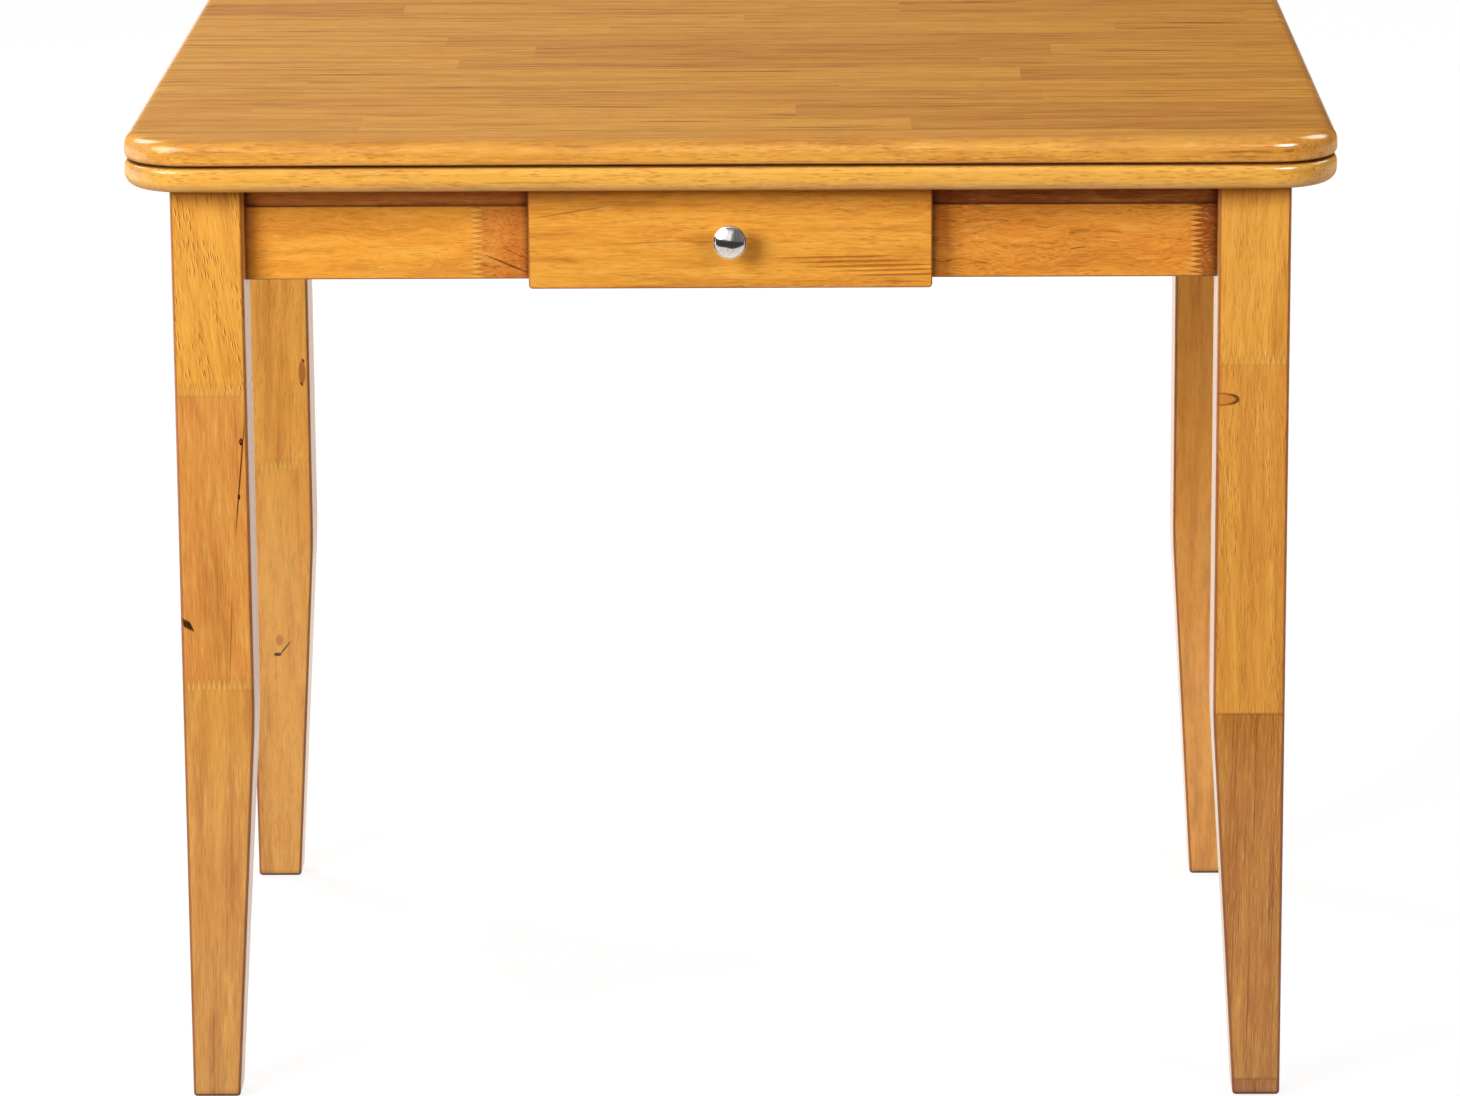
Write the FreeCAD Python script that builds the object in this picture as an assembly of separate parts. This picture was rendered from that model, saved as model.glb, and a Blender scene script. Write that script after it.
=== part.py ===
import FreeCAD, Part
import math
import os

# A small tavern table with a turn-and-fold top and one drawer.
# Millimetres.  X runs left to right along the front, Y from front to back, Z up.
# The origin is on the floor under the middle of the closed top.

Vector = FreeCAD.Vector

# ---- Driving dimensions: overall -------------------------------------------------
table_height = 750.0
top_width = 900.0
top_depth = 700.0          # front edge to the axis of the fold hinges
top_overhang = 34.0        # leaf edge to the outer face of a leg

# ---- Leaves ----------------------------------------------------------------------
leaf_thick = 19.5
leaf_gap = 0.5             # between the folded leaves, held open by bumpers
leaf_corner_radius = 50.0
bullnose_radius = 9.5      # edge of a leaf on the side that shows when the top is folded
meeting_radius = 5.0       # edge of a leaf where it meets the other leaf
hinge_edge_gap = 0.3       # square rear edge of each leaf to the hinge axis

# ---- Legs ------------------------------------------------------------------------
leg_size = 54.0
foot_size = 36.0
taper_height = 300.0       # where the two inner faces start to lean in
bend_radius = 600.0
leg_edge_radius = 3.0
glide_thick = 1.5
glide_radius = 9.0
glide_nail_radius = 1.2
glide_nail_length = 14.0

# ---- Aprons and rails ------------------------------------------------------------
apron_height = 55.0
apron_thick = 20.0
apron_setback = 19.0       # outer face of a leg to the face of an apron
apron_edge_radius = 1.5
rail_thick = 19.0
rail_setback = 22.0        # outer face of a leg to the outer edge of a top rail
cross_rail_lap = 5.0       # how far a cross rail reaches in over the side of the drawer
pivot_rail_edge = 45.0     # pivot to the outer edge of a cross rail
cross_dowel_inset = 20.0   # dowel centre to the edge of a cross rail
rail_screw_inset = 60.0    # outermost screw of a top rail to the leg
notch_screw_inset = 50.0   # drawer notch to the nearest screw of a top rail
runner_screw_inset = 50.0

# ---- Drawer ----------------------------------------------------------------------
drawer_front_width = 300.0
drawer_front_thick = 19.0
drawer_front_drop = 4.0    # how far the front hangs below the apron
drawer_front_top_gap = 2.0
drawer_front_corner_radius = 3.0
drawer_front_edge_radius = 1.5
drawer_box_width = 270.0
drawer_box_length = 370.0
drawer_side_thick = 12.0
drawer_back_thick = 12.0
drawer_bottom_thick = 4.0
drawer_bottom_lift = 8.0   # lower edge of a side to its groove
drawer_groove_depth = 5.0
drawer_travel = 280.0
drawer_side_clear = 0.8
drawer_top_clear = 1.5
groove_clear = 0.1
runner_lip_height = 15.0
runner_lip_width = 22.0
runner_guide_thick = 16.0
stop_block_width = 60.0
stop_block_drop = 17.0
drawer_dowel_low = 6.0     # lower dowel above the bottom board
drawer_dowel_high = 7.0    # upper dowel below the edge of a side
drawer_screw_low = 7.0
drawer_screw_high = 6.0

# ---- Knob ------------------------------------------------------------------------
knob_radius = 12.5
knob_projection = 21.0
knob_base_radius = 7.0
knob_base_thick = 1.5
knob_neck_radius = 4.5
knob_neck_start = 3.75
knob_neck_end = 9.5        # where the neck starts to flare into the head
knob_rim = 1.4             # rounded edge of the head
knob_rim_end = 17.2        # where the dome starts
knob_flare_bow = 0.8       # how far the flare under the head is hollowed
knob_screw_radius = 2.0
knob_screw_in_knob = 9.0
knob_screw_head_radius = 4.0
knob_screw_head_height = 2.6
knob_screw_head_edge = 1.0 # rounding of the head
knob_screw_root = 0.5      # how far the shank runs into the head

# ---- Swivel ----------------------------------------------------------------------
stud_radius = 5.0
running_clear = 0.05
flange_radius = 35.0
flange_thick = 3.0
flange_screw_circle = 25.0
bush_wall = 2.0
bush_flange_radius = 13.0
bush_flange_thick = 1.5
pivot_washer_radius = 13.0
pivot_washer_thick = 2.0
spring_washer_radius = 9.0
spring_washer_thick = 2.2
washer_clear = 0.2         # stud to a washer
slip_ring_inset = 3.0      # edge of the flange to the edge of the slip ring
slip_ring_clear = 1.0      # stud to the slip ring
stud_root = 1.0            # how far the stud runs into the flange
lock_nut_width = 17.0
lock_nut_height = 9.0
stud_end = 3.0             # how far the stud passes the nut
stop_start_deg = 30.0      # direction of the stop pin while the top is closed
stop_pin_radius = 5.0
stop_pin_length = 24.0
stop_pin_depth = 12.0
stop_gap = 0.2
stop_block_height = 15.0
stop_block_sink = 1.0      # top of a stop block below the tops of the rails
stop_block_extra = 2.0     # how much deeper the closed block is than the open one
closed_block_width = 50.0
open_block_width = 40.0
closed_screw_inset = 11.0
open_screw_inset = 9.0
swivel_deg = 90.0

# ---- Pads and bumpers ------------------------------------------------------------
pad_proud = 0.5
pad_radius = 13.0
pad_depth = 1.5
bumper_radius = 6.0
bumper_depth = 0.7
bumper_inset = 60.0

# ---- Fold hinges -----------------------------------------------------------------
hinge_count = 3
hinge_length = 60.0
hinge_end_inset = 120.0    # middle of an outer hinge to the side of the leaf
hinge_plate_thick = 1.5
hinge_plate_height = 16.5
knuckle_radius = 2.5
knuckle_count = 5
knuckle_end_gap = 0.2
knuckle_relief = 0.35
hinge_pin_radius = 1.2
hinge_screw_inset = 10.0   # outer screw to the end of a plate
hinge_screw_shift = 1.0    # screws off the middle of a plate, away from the knuckles

# ---- Fasteners -------------------------------------------------------------------
# Each screw is shank radius, head radius, head height and length.
frame_screw = (2.0, 4.0, 2.4, 30.0)
hinge_screw = (1.5, 2.9, 1.4, 16.0)
flange_screw = (2.0, 3.8, 2.2, 16.0)
drawer_screw = (1.75, 3.5, 2.0, 30.0)
screw_clear = 0.15
screw_tip = 2.0            # length of the point in shank radii
drive_half_length = 0.55   # of the cross in the head, in head radii
drive_half_width = 0.35    # in shank radii
drive_depth = 0.6          # in head heights
dowel_radius = 4.0
dowel_length = 36.0
cross_dowel_length = 30.0
drawer_dowel_radius = 3.0
drawer_dowel_length = 22.0
dowel_clear = 0.1
dowel_end_clear = 1.0
dowel_edge = 13.0          # dowel centre to the edge of an apron
corner_block_gap = 15.0    # inner edge of a leg to the near face of a block, along an apron
corner_block_width = 36.0  # along an apron
corner_block_edge = 3.5    # block to the edges of the aprons
corner_screw_sink = 6.0
corner_screw_mouth = 18.0  # open run of the hole above a sunk head
corner_screw_shift = 2.0   # screws off the middle of a block, towards its near face
bolt_radius = 4.0
bolt_in_leg = 35.0
bolt_clear = 0.5
bolt_end = 3.0
bolt_washer_radius = 10.0
bolt_washer_thick = 2.0
wing_hub_radius = 7.0
wing_hub_height = 8.0
wing_span = 30.0
wing_height = 16.0
wing_thick = 3.0
wing_root = 2.0            # how far a wing reaches into and along its hub
wing_lift = 1.0
wing_tip_drop = 3.0
wing_tip_width = 6.0

# ---- Working values -----------------------------------------------------------------
overcut = 1.0              # how far a cutter runs past a face
edge_margin = 1.0          # tells the edges to be rounded from the others
flat = 0.01

# ---- Levels and places that follow from them --------------------------------------
leg_top = table_height - 2 * leaf_thick - leaf_gap - pad_proud
lower_leaf_bottom = leg_top + pad_proud
lower_leaf_top = lower_leaf_bottom + leaf_thick
upper_leaf_bottom = lower_leaf_top + leaf_gap
hinge_y = top_depth / 2
hinge_z = lower_leaf_top + leaf_gap / 2
leaf_front = -top_depth / 2
leaf_rear = hinge_y - hinge_edge_gap

frame_x = top_width / 2 - top_overhang      # outer faces of the legs
frame_y = top_depth / 2 - top_overhang
leg_inner_x = frame_x - leg_size
leg_inner_y = frame_y - leg_size
apron_outer_x = frame_x - apron_setback
apron_outer_y = frame_y - apron_setback
apron_inner_x = apron_outer_x - apron_thick
apron_inner_y = apron_outer_y - apron_thick
leg_past_apron = leg_size - apron_setback - apron_thick
corner_block_near = 2 * leg_past_apron + corner_block_gap
corner_block_far = corner_block_near + corner_block_width
apron_top = leg_top - rail_thick
apron_bottom = apron_top - apron_height
rail_outer_x = frame_x - rail_setback
rail_outer_y = frame_y - rail_setback

pivot_x = -top_depth / 4
pivot_y = top_depth / 4

drawer_front_y = -frame_y
drawer_back_of_front = drawer_front_y + drawer_front_thick
drawer_front_bottom = apron_bottom - drawer_front_drop
drawer_front_top = leg_top - drawer_front_top_gap
drawer_rear = drawer_back_of_front + drawer_box_length
drawer_outer_x = drawer_box_width / 2
drawer_inner_x = drawer_outer_x - drawer_side_thick
drawer_box_bottom = apron_bottom + runner_lip_height
drawer_box_top = apron_top - drawer_top_clear
drawer_board_bottom = drawer_box_bottom + drawer_bottom_lift
drawer_board_top = drawer_board_bottom + drawer_bottom_thick
notch_x = drawer_outer_x + drawer_side_clear
knob_z = (drawer_front_bottom + drawer_front_top) / 2

# A cross rail reaches from over the drawer to beyond the pivot, and the stop pin swings
# between the rear rail and the inner edge of the cross rail.
cross_rail_inner = drawer_outer_x - cross_rail_lap
cross_rail_width = abs(pivot_x) + pivot_rail_edge - cross_rail_inner
cross_rail_outer = cross_rail_inner + cross_rail_width
pin_room = (abs(pivot_x) - cross_rail_inner) + (leg_inner_y - pivot_y)
stop_arm = (pin_room - stop_block_extra) / 2 / math.sin(math.radians(stop_start_deg))

X_AXIS = Vector(1, 0, 0)
Y_AXIS = Vector(0, 1, 0)
Z_AXIS = Vector(0, 0, 1)
CORNERS = {"front_left": (-1, -1), "front_right": (1, -1), "rear_left": (-1, 1), "rear_right": (1, 1)}


# ---- Small helpers ----------------------------------------------------------------
def box(x0, x1, y0, y1, z0, z1):
    """Box between two corners given in any order."""
    low = Vector(min(x0, x1), min(y0, y1), min(z0, z1))
    return Part.makeBox(abs(x1 - x0), abs(y1 - y0), abs(z1 - z0), low)


def rod(radius, start, end):
    """Round bar from start to end."""
    return Part.makeCylinder(radius, (end - start).Length, start, end - start)


def ring(outer, inner, start, end):
    """Round washer or sleeve from start to end."""
    return rod(outer, start, end).cut(rod(inner, start, end))


def aimed(shape, at, direction):
    """Shape made along +Z from the origin, moved to a point and turned to a direction."""
    shape.Placement = FreeCAD.Placement(at, FreeCAD.Rotation(Z_AXIS, direction))
    return shape


def turned(points):
    """Solid of revolution about Z from (radius, height) points."""
    wire = Part.makePolygon([Vector(r, 0, z) for r, z in points + points[:1]])
    return Part.Face(wire).revolve(Vector(0, 0, 0), Z_AXIS, 360)


def screw(kind, at, direction):
    """Countersunk screw with its head face at a point and its shank along a direction."""
    shank, head, head_height, length = kind
    outline = [(0, 0), (head, 0), (shank, head_height), (shank, length - screw_tip * shank), (0, length)]
    body = turned(outline)
    reach = drive_half_length * head
    half = drive_half_width * shank
    depth = drive_depth * head_height
    body = body.cut(box(-reach, reach, -half, half, 0, depth))
    body = body.cut(box(-half, half, -reach, reach, 0, depth))
    return aimed(body, at, direction)


def screw_hole(kind, at, direction, sink=0.0):
    """Countersunk hole for a screw, opened outwards by sink above the head."""
    shank, head, head_height, length = kind
    wide = head + screw_clear
    narrow = shank + screw_clear
    far = length + screw_clear
    mouth = -sink - overcut
    outline = [(0, mouth), (wide, mouth), (wide, 0), (narrow, head_height + screw_clear)]
    return aimed(turned(outline + [(narrow, far), (0, far)]), at, direction)


def dowel_hole(radius, start, end):
    """Hole for a dowel, a little wider and deeper than the dowel."""
    along = (end - start).normalize()
    return rod(radius + dowel_clear, start - along * dowel_end_clear, end + along * dowel_end_clear)


def drill(shape, cutters):
    """Shape less every cutter that reaches it."""
    for cutter in cutters:
        if shape.BoundBox.intersect(cutter.BoundBox):
            shape = shape.cut(cutter)
    return shape


def eased(shape, radius, wanted):
    """Shape with the straight or curved edges that pass a test rounded over."""
    return shape.makeFillet(radius, [edge for edge in shape.Edges if wanted(edge)])


def spread(first, last, count):
    """Evenly spaced places from first to last, both included."""
    return [first + (last - first) * i / (count - 1) for i in range(count)]


def group(solids):
    """Several like pieces that share one node."""
    return Part.makeCompound(solids)


# ---- Where the fasteners of the frame go ------------------------------------------
def apron_dowels():
    """Two dowels through each joint between an apron and a leg."""
    half = dowel_length / 2
    mid_x = (apron_outer_x + apron_inner_x) / 2
    mid_y = (apron_outer_y + apron_inner_y) / 2
    lines = []
    for side_x, side_y in CORNERS.values():
        for z in (apron_bottom + dowel_edge, apron_top - dowel_edge):
            joint = Vector(side_x * leg_inner_x, side_y * mid_y, z)
            lines.append((joint - X_AXIS * half, joint + X_AXIS * half))
            joint = Vector(side_x * mid_x, side_y * leg_inner_y, z)
            lines.append((joint - Y_AXIS * half, joint + Y_AXIS * half))
    return lines


def cross_rail_dowels():
    """Two dowels at each end of each cross rail."""
    half = cross_dowel_length / 2
    z = (apron_top + leg_top) / 2
    lines = []
    for side_x in (-1, 1):
        for x in spread(cross_rail_inner + cross_dowel_inset, cross_rail_outer - cross_dowel_inset, 2):
            for side_y in (-1, 1):
                joint = Vector(side_x * x, side_y * leg_inner_y, z)
                lines.append((joint - Y_AXIS * half, joint + Y_AXIS * half))
    return lines


def top_rail_screws():
    """Screws straight down through the top rails into the aprons."""
    mid_x = (apron_outer_x + apron_inner_x) / 2
    mid_y = (apron_outer_y + apron_inner_y) / 2
    down = -Z_AXIS
    spots = []
    for side_y in (-1, 1):
        for side_x in (-1, 1):
            for x in spread(notch_x + notch_screw_inset, leg_inner_x - rail_screw_inset, 2):
                spots.append((Vector(side_x * x, side_y * mid_y, leg_top), down))
    for side_x in (-1, 1):
        for y in spread(rail_screw_inset - leg_inner_y, leg_inner_y - rail_screw_inset, 3):
            spots.append((Vector(side_x * mid_x, y, leg_top), down))
    return spots


def runner_screws():
    """Screws down through the cross rails into the guides of the runners."""
    x = notch_x + runner_guide_thick / 2
    return [
        (Vector(side * x, y, leg_top), -Z_AXIS)
        for side in (-1, 1)
        for y in spread(runner_screw_inset - leg_inner_y, leg_inner_y - runner_screw_inset, 3)
    ]


def corner_block_screws():
    """Two screws through each end of each corner block."""
    off = (corner_block_near + corner_block_far) / 2 - corner_screw_shift
    depth = corner_block_far - off - corner_screw_sink
    spots = []
    for side_x, side_y in CORNERS.values():
        for z in (apron_bottom + dowel_edge, apron_top - dowel_edge):
            start_x = side_x * (apron_inner_x - depth)
            spots.append((Vector(start_x, side_y * (apron_inner_y - off), z), X_AXIS * side_x))
            start_y = side_y * (apron_inner_y - depth)
            spots.append((Vector(side_x * (apron_inner_x - off), start_y, z), Y_AXIS * side_y))
    return spots


def stop_pin_at(angle_deg):
    """Centre of the stop pin when it points in a direction from the pivot."""
    angle = math.radians(angle_deg)
    return pivot_x + stop_arm * math.cos(angle), pivot_y + stop_arm * math.sin(angle)


def stop_block_boxes():
    """Plan limits of the blocks that the stop pin meets when closed and when open."""
    closed_x, closed_y = stop_pin_at(stop_start_deg)
    open_x, open_y = stop_pin_at(stop_start_deg - swivel_deg)
    reach = stop_pin_radius + stop_gap
    closed_half = closed_block_width / 2
    open_half = open_block_width / 2
    closed = (closed_x - closed_half, closed_x + closed_half, closed_y + reach, leg_inner_y)
    opened = (-cross_rail_inner, open_x - reach, open_y - open_half, open_y + open_half)
    return closed, opened


def stop_block_screws():
    """Two screws through each stop block into the rail behind it."""
    closed, opened = stop_block_boxes()
    z = leg_top - stop_block_sink - stop_block_height / 2
    closed_x = spread(closed[0] + closed_screw_inset, closed[1] - closed_screw_inset, 2)
    open_y = spread(opened[2] + open_screw_inset, opened[3] - open_screw_inset, 2)
    spots = [(Vector(x, closed[2], z), Y_AXIS) for x in closed_x]
    spots += [(Vector(opened[1], y, z), -X_AXIS) for y in open_y]
    return spots


def bolt_line(side_x, side_y):
    """A point on the apron corner and the direction of the hanger bolt, inwards."""
    corner = Vector(side_x * apron_inner_x, side_y * apron_inner_y, (apron_bottom + apron_top) / 2)
    return corner, Vector(-side_x, -side_y, 0).normalize()


bolt_leg_face = math.sqrt(2) * leg_past_apron
bolt_block_near = corner_block_near / math.sqrt(2)
bolt_block_far = corner_block_far / math.sqrt(2)
bolt_stop = bolt_block_far + bolt_washer_thick + wing_hub_height + bolt_end


def frame_holes():
    """Every hole that the frame's own fasteners need."""
    cutters = [dowel_hole(dowel_radius, *line) for line in apron_dowels() + cross_rail_dowels()]
    flush = top_rail_screws() + runner_screws() + stop_block_screws()
    cutters += [screw_hole(frame_screw, *spot) for spot in flush]
    cutters += [screw_hole(frame_screw, *spot, sink=corner_screw_mouth) for spot in corner_block_screws()]
    for side_x, side_y in CORNERS.values():
        corner, inwards = bolt_line(side_x, side_y)
        start = corner + inwards * (bolt_leg_face - bolt_in_leg - dowel_end_clear)
        cutters.append(rod(bolt_radius + screw_clear, start, corner + inwards * bolt_block_near))
        through = corner + inwards * (bolt_block_far + bolt_end)
        cutters.append(rod(bolt_radius + bolt_clear, corner + inwards * bolt_leg_face, through))
    return cutters


# ---- Frame --------------------------------------------------------------------------
def leg_blank():
    """Leg with its outer corner on the Z axis and its two tapered faces towards +X and +Y."""
    lean = math.atan2(leg_size - foot_size, taper_height - glide_thick)
    reach = bend_radius * math.tan(lean / 2)
    centre = Vector(leg_size - bend_radius, 0, taper_height + reach)

    def on_bend(angle):
        return centre + Vector(math.cos(angle), 0, -math.sin(angle)) * bend_radius

    heel = Vector(0, 0, glide_thick)
    toe = Vector(foot_size, 0, glide_thick)
    inner_top = Vector(leg_size, 0, leg_top)
    outer_top = Vector(0, 0, leg_top)
    edges = [
        Part.LineSegment(heel, toe).toShape(),
        Part.LineSegment(toe, on_bend(lean)).toShape(),
        Part.Arc(on_bend(lean), on_bend(lean / 2), on_bend(0)).toShape(),
        Part.LineSegment(on_bend(0), inner_top).toShape(),
        Part.LineSegment(inner_top, outer_top).toShape(),
        Part.LineSegment(outer_top, heel).toShape(),
    ]
    one_way = Part.Face(Part.Wire(edges)).extrude(Y_AXIS * leg_size)
    other_way = one_way.mirror(Vector(0, 0, 0), Vector(1, -1, 0))
    blank = one_way.common(other_way).removeSplitter()
    return eased(blank, leg_edge_radius, lambda edge: edge.BoundBox.ZMin < leg_top - edge_margin)


def in_corner(shape, side_x, side_y):
    """Shape made at the front left corner's outer edge, mirrored into any corner."""
    shape = shape.translated(Vector(-frame_x, -frame_y, 0))
    if side_x > 0:
        shape = shape.mirror(Vector(0, 0, 0), X_AXIS)
    if side_y > 0:
        shape = shape.mirror(Vector(0, 0, 0), Y_AXIS)
    return shape


def glide(centre):
    """Round glide with its nail."""
    up = Z_AXIS
    disc = rod(glide_radius, centre, centre + up * glide_thick)
    disc = eased(disc, glide_thick / 2, lambda edge: edge.BoundBox.ZMax < glide_thick / 2)
    return disc.fuse(rod(glide_nail_radius, centre, centre + up * (glide_thick + glide_nail_length)))


def slide_pad_places():
    """Middles of the felt pads: one on each leg and three on the cross rails."""
    middle_x = frame_x - leg_size / 2
    middle_y = frame_y - leg_size / 2
    places = [(side_x * middle_x, side_y * middle_y) for side_x, side_y in CORNERS.values()]
    return places + [(pivot_x, -pivot_y), (-pivot_x, -pivot_y), (-pivot_x, pivot_y)]


def make_frame(nodes):
    """Legs, aprons, rails, runners and blocks, with the fasteners that hold them."""
    holes = frame_holes()
    blank = leg_blank()
    foot_x = frame_x - foot_size / 2
    foot_y = frame_y - foot_size / 2
    feet = [Vector(side_x * foot_x, side_y * foot_y, 0) for side_x, side_y in CORNERS.values()]
    nail_top = Z_AXIS * (glide_thick + glide_nail_length + dowel_end_clear)
    nail_holes = [rod(glide_nail_radius + dowel_clear, foot, foot + nail_top) for foot in feet]
    pad_floor = leg_top - pad_depth
    pads = [Vector(x, y, pad_floor) for x, y in slide_pad_places()]
    pad_holes = [rod(pad_radius + dowel_clear, pad, pad + Z_AXIS * (pad_depth + overcut)) for pad in pads]

    for name, (side_x, side_y) in CORNERS.items():
        leg = in_corner(blank, side_x, side_y)
        nodes["leg_" + name] = drill(leg, holes + nail_holes + pad_holes)
    nodes["floor_glides"] = group([glide(foot) for foot in feet])
    pad_thick = Z_AXIS * (pad_depth + pad_proud)
    nodes["slide_pads"] = group([rod(pad_radius, pad, pad + pad_thick) for pad in pads])

    long_apron = box(-leg_inner_x, leg_inner_x, apron_outer_y, apron_inner_y, apron_bottom, apron_top)
    side_apron = box(apron_outer_x, apron_inner_x, -leg_inner_y, leg_inner_y, apron_bottom, apron_top)

    def lower_arris(edge):
        return edge.BoundBox.ZMax < apron_bottom + edge_margin and edge.Length > 2 * apron_thick

    long_apron = eased(long_apron, apron_edge_radius, lower_arris)
    side_apron = eased(side_apron, apron_edge_radius, lower_arris)
    front = long_apron.mirror(Vector(0, 0, 0), Y_AXIS)
    front = front.cut(box(-notch_x, notch_x, -apron_outer_y, -apron_inner_y, drawer_box_bottom, apron_top))
    nodes["apron_front"] = drill(front, holes)
    nodes["apron_rear"] = drill(long_apron, holes)
    nodes["apron_right"] = drill(side_apron, holes)
    nodes["apron_left"] = drill(side_apron.mirror(Vector(0, 0, 0), X_AXIS), holes)

    for name, side in (("front", -1), ("rear", 1)):
        rail = box(-leg_inner_x, leg_inner_x, side * rail_outer_y, side * leg_inner_y, apron_top, leg_top)
        nodes["top_rail_" + name] = drill(rail, holes)
    for name, side in (("left", -1), ("right", 1)):
        rail = box(side * rail_outer_x, side * leg_inner_x, -leg_inner_y, leg_inner_y, apron_top, leg_top)
        nodes["top_rail_" + name] = drill(rail, holes)

    bush_low = Vector(pivot_x, pivot_y, apron_top - overcut)
    bush_high = Vector(pivot_x, pivot_y, leg_top + overcut)
    bush_hole = rod(stud_radius + running_clear + bush_wall + dowel_clear, bush_low, bush_high)
    guide_far = notch_x + runner_guide_thick
    lip_near = notch_x - runner_lip_width
    y0 = -leg_inner_y
    y1 = leg_inner_y
    for name, side in (("left", -1), ("right", 1)):
        rail = box(side * cross_rail_inner, side * cross_rail_outer, y0, y1, apron_top, leg_top)
        nodes["cross_rail_" + name] = drill(rail, holes + pad_holes + [bush_hole])
    y0 = -apron_inner_y
    y1 = apron_inner_y
    for name, side in (("left", -1), ("right", 1)):
        lip = box(side * lip_near, side * guide_far, y0, y1, apron_bottom, drawer_box_bottom)
        guide = box(side * notch_x, side * guide_far, y0, y1, apron_bottom, apron_top)
        nodes["drawer_runner_" + name] = drill(lip.fuse(guide).removeSplitter(), holes)

    z0 = apron_bottom + corner_block_edge
    z1 = apron_top - corner_block_edge
    near = corner_block_near
    far = corner_block_far
    steps = [(near, 0), (far, 0), (0, far), (0, near)]
    for name, (side_x, side_y) in CORNERS.items():
        points = [Vector(side_x * (apron_inner_x - a), side_y * (apron_inner_y - b), z0) for a, b in steps]
        outline = Part.Face(Part.makePolygon(points + points[:1]))
        nodes["corner_block_" + name] = drill(outline.extrude(Z_AXIS * (z1 - z0)), holes)

    make_frame_fasteners(nodes)
    make_stop_blocks(nodes, holes)


def make_frame_fasteners(nodes):
    """Dowels, screws, hanger bolts, washers and wing nuts of the frame."""
    lines = apron_dowels() + cross_rail_dowels()
    nodes["frame_dowels"] = group([rod(dowel_radius, *line) for line in lines])
    spots = top_rail_screws() + runner_screws() + stop_block_screws()
    nodes["rail_screws"] = group([screw(frame_screw, *spot) for spot in spots])
    nodes["corner_block_screws"] = group([screw(frame_screw, *spot) for spot in corner_block_screws()])
    bolts = []
    washers = []
    nuts = []
    for side_x, side_y in CORNERS.values():
        corner, inwards = bolt_line(side_x, side_y)
        face = corner + inwards * bolt_block_far
        seat = face + inwards * bolt_washer_thick
        start = corner + inwards * (bolt_leg_face - bolt_in_leg)
        bolts.append(rod(bolt_radius, start, corner + inwards * bolt_stop))
        washers.append(ring(bolt_washer_radius, bolt_radius + bolt_clear, face, seat))
        nuts.append(aimed(wing_nut(), seat, inwards))
    nodes["hanger_bolts"] = group(bolts)
    nodes["bolt_washers"] = group(washers)
    nodes["wing_nuts"] = group(nuts)


def wing_nut():
    """Wing nut standing on its seat at the origin."""
    hub = rod(wing_hub_radius, Vector(0, 0, 0), Z_AXIS * wing_hub_height)
    half = wing_thick / 2
    for side in (-1, 1):
        outline = [
            Vector(side * (wing_hub_radius - wing_root), -half, wing_lift),
            Vector(side * (wing_hub_radius + wing_root), -half, wing_lift),
            Vector(side * wing_span / 2, -half, wing_height - wing_tip_drop),
            Vector(side * (wing_span / 2 - wing_root), -half, wing_height),
            Vector(side * (wing_span / 2 - wing_tip_width), -half, wing_height - wing_root),
            Vector(side * (wing_hub_radius - wing_root), -half, wing_hub_height),
        ]
        wing = Part.Face(Part.makePolygon(outline + outline[:1])).extrude(Y_AXIS * wing_thick)
        hub = hub.fuse(wing)
    bore = rod(bolt_radius + screw_clear, -Z_AXIS * overcut, Z_AXIS * (wing_hub_height + overcut))
    return hub.removeSplitter().cut(bore)


def make_stop_blocks(nodes, holes):
    """The two blocks that end the swivel, fixed to the rails."""
    z1 = leg_top - stop_block_sink
    z0 = z1 - stop_block_height
    blocks = [box(*limits, z0, z1) for limits in stop_block_boxes()]
    nodes["swivel_stop_blocks"] = group([drill(block, holes) for block in blocks])


# ---- Fold hinges --------------------------------------------------------------------
def hinge_middles():
    """X of the middle of each hinge."""
    end = top_width / 2 - hinge_end_inset
    return spread(-end, end, hinge_count)


def hinge_screw_spots(side):
    """Screw places in every plate; side is -1 for the lower leaf and 1 for the upper one."""
    z = hinge_z + side * (leaf_gap / 2 + hinge_plate_height / 2 + hinge_screw_shift)
    end = hinge_length / 2 - hinge_screw_inset
    return [
        (Vector(middle + x, leaf_rear, z), -Y_AXIS)
        for middle in hinge_middles()
        for x in spread(-end, end, 3)
    ]


def knuckles(middle, first):
    """Every second knuckle of a hinge, starting with the first or the second one."""
    pitch = hinge_length / knuckle_count
    spans = []
    for i in range(first, knuckle_count, 2):
        start = middle - hinge_length / 2 + i * pitch
        spans.append((start + knuckle_end_gap / 2, start + pitch - knuckle_end_gap / 2))
    return spans


def axis_rod(radius, x0, x1):
    """Round bar on the hinge axis between two places along X."""
    return rod(radius, Vector(x0, hinge_y, hinge_z), Vector(x1, hinge_y, hinge_z))


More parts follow.
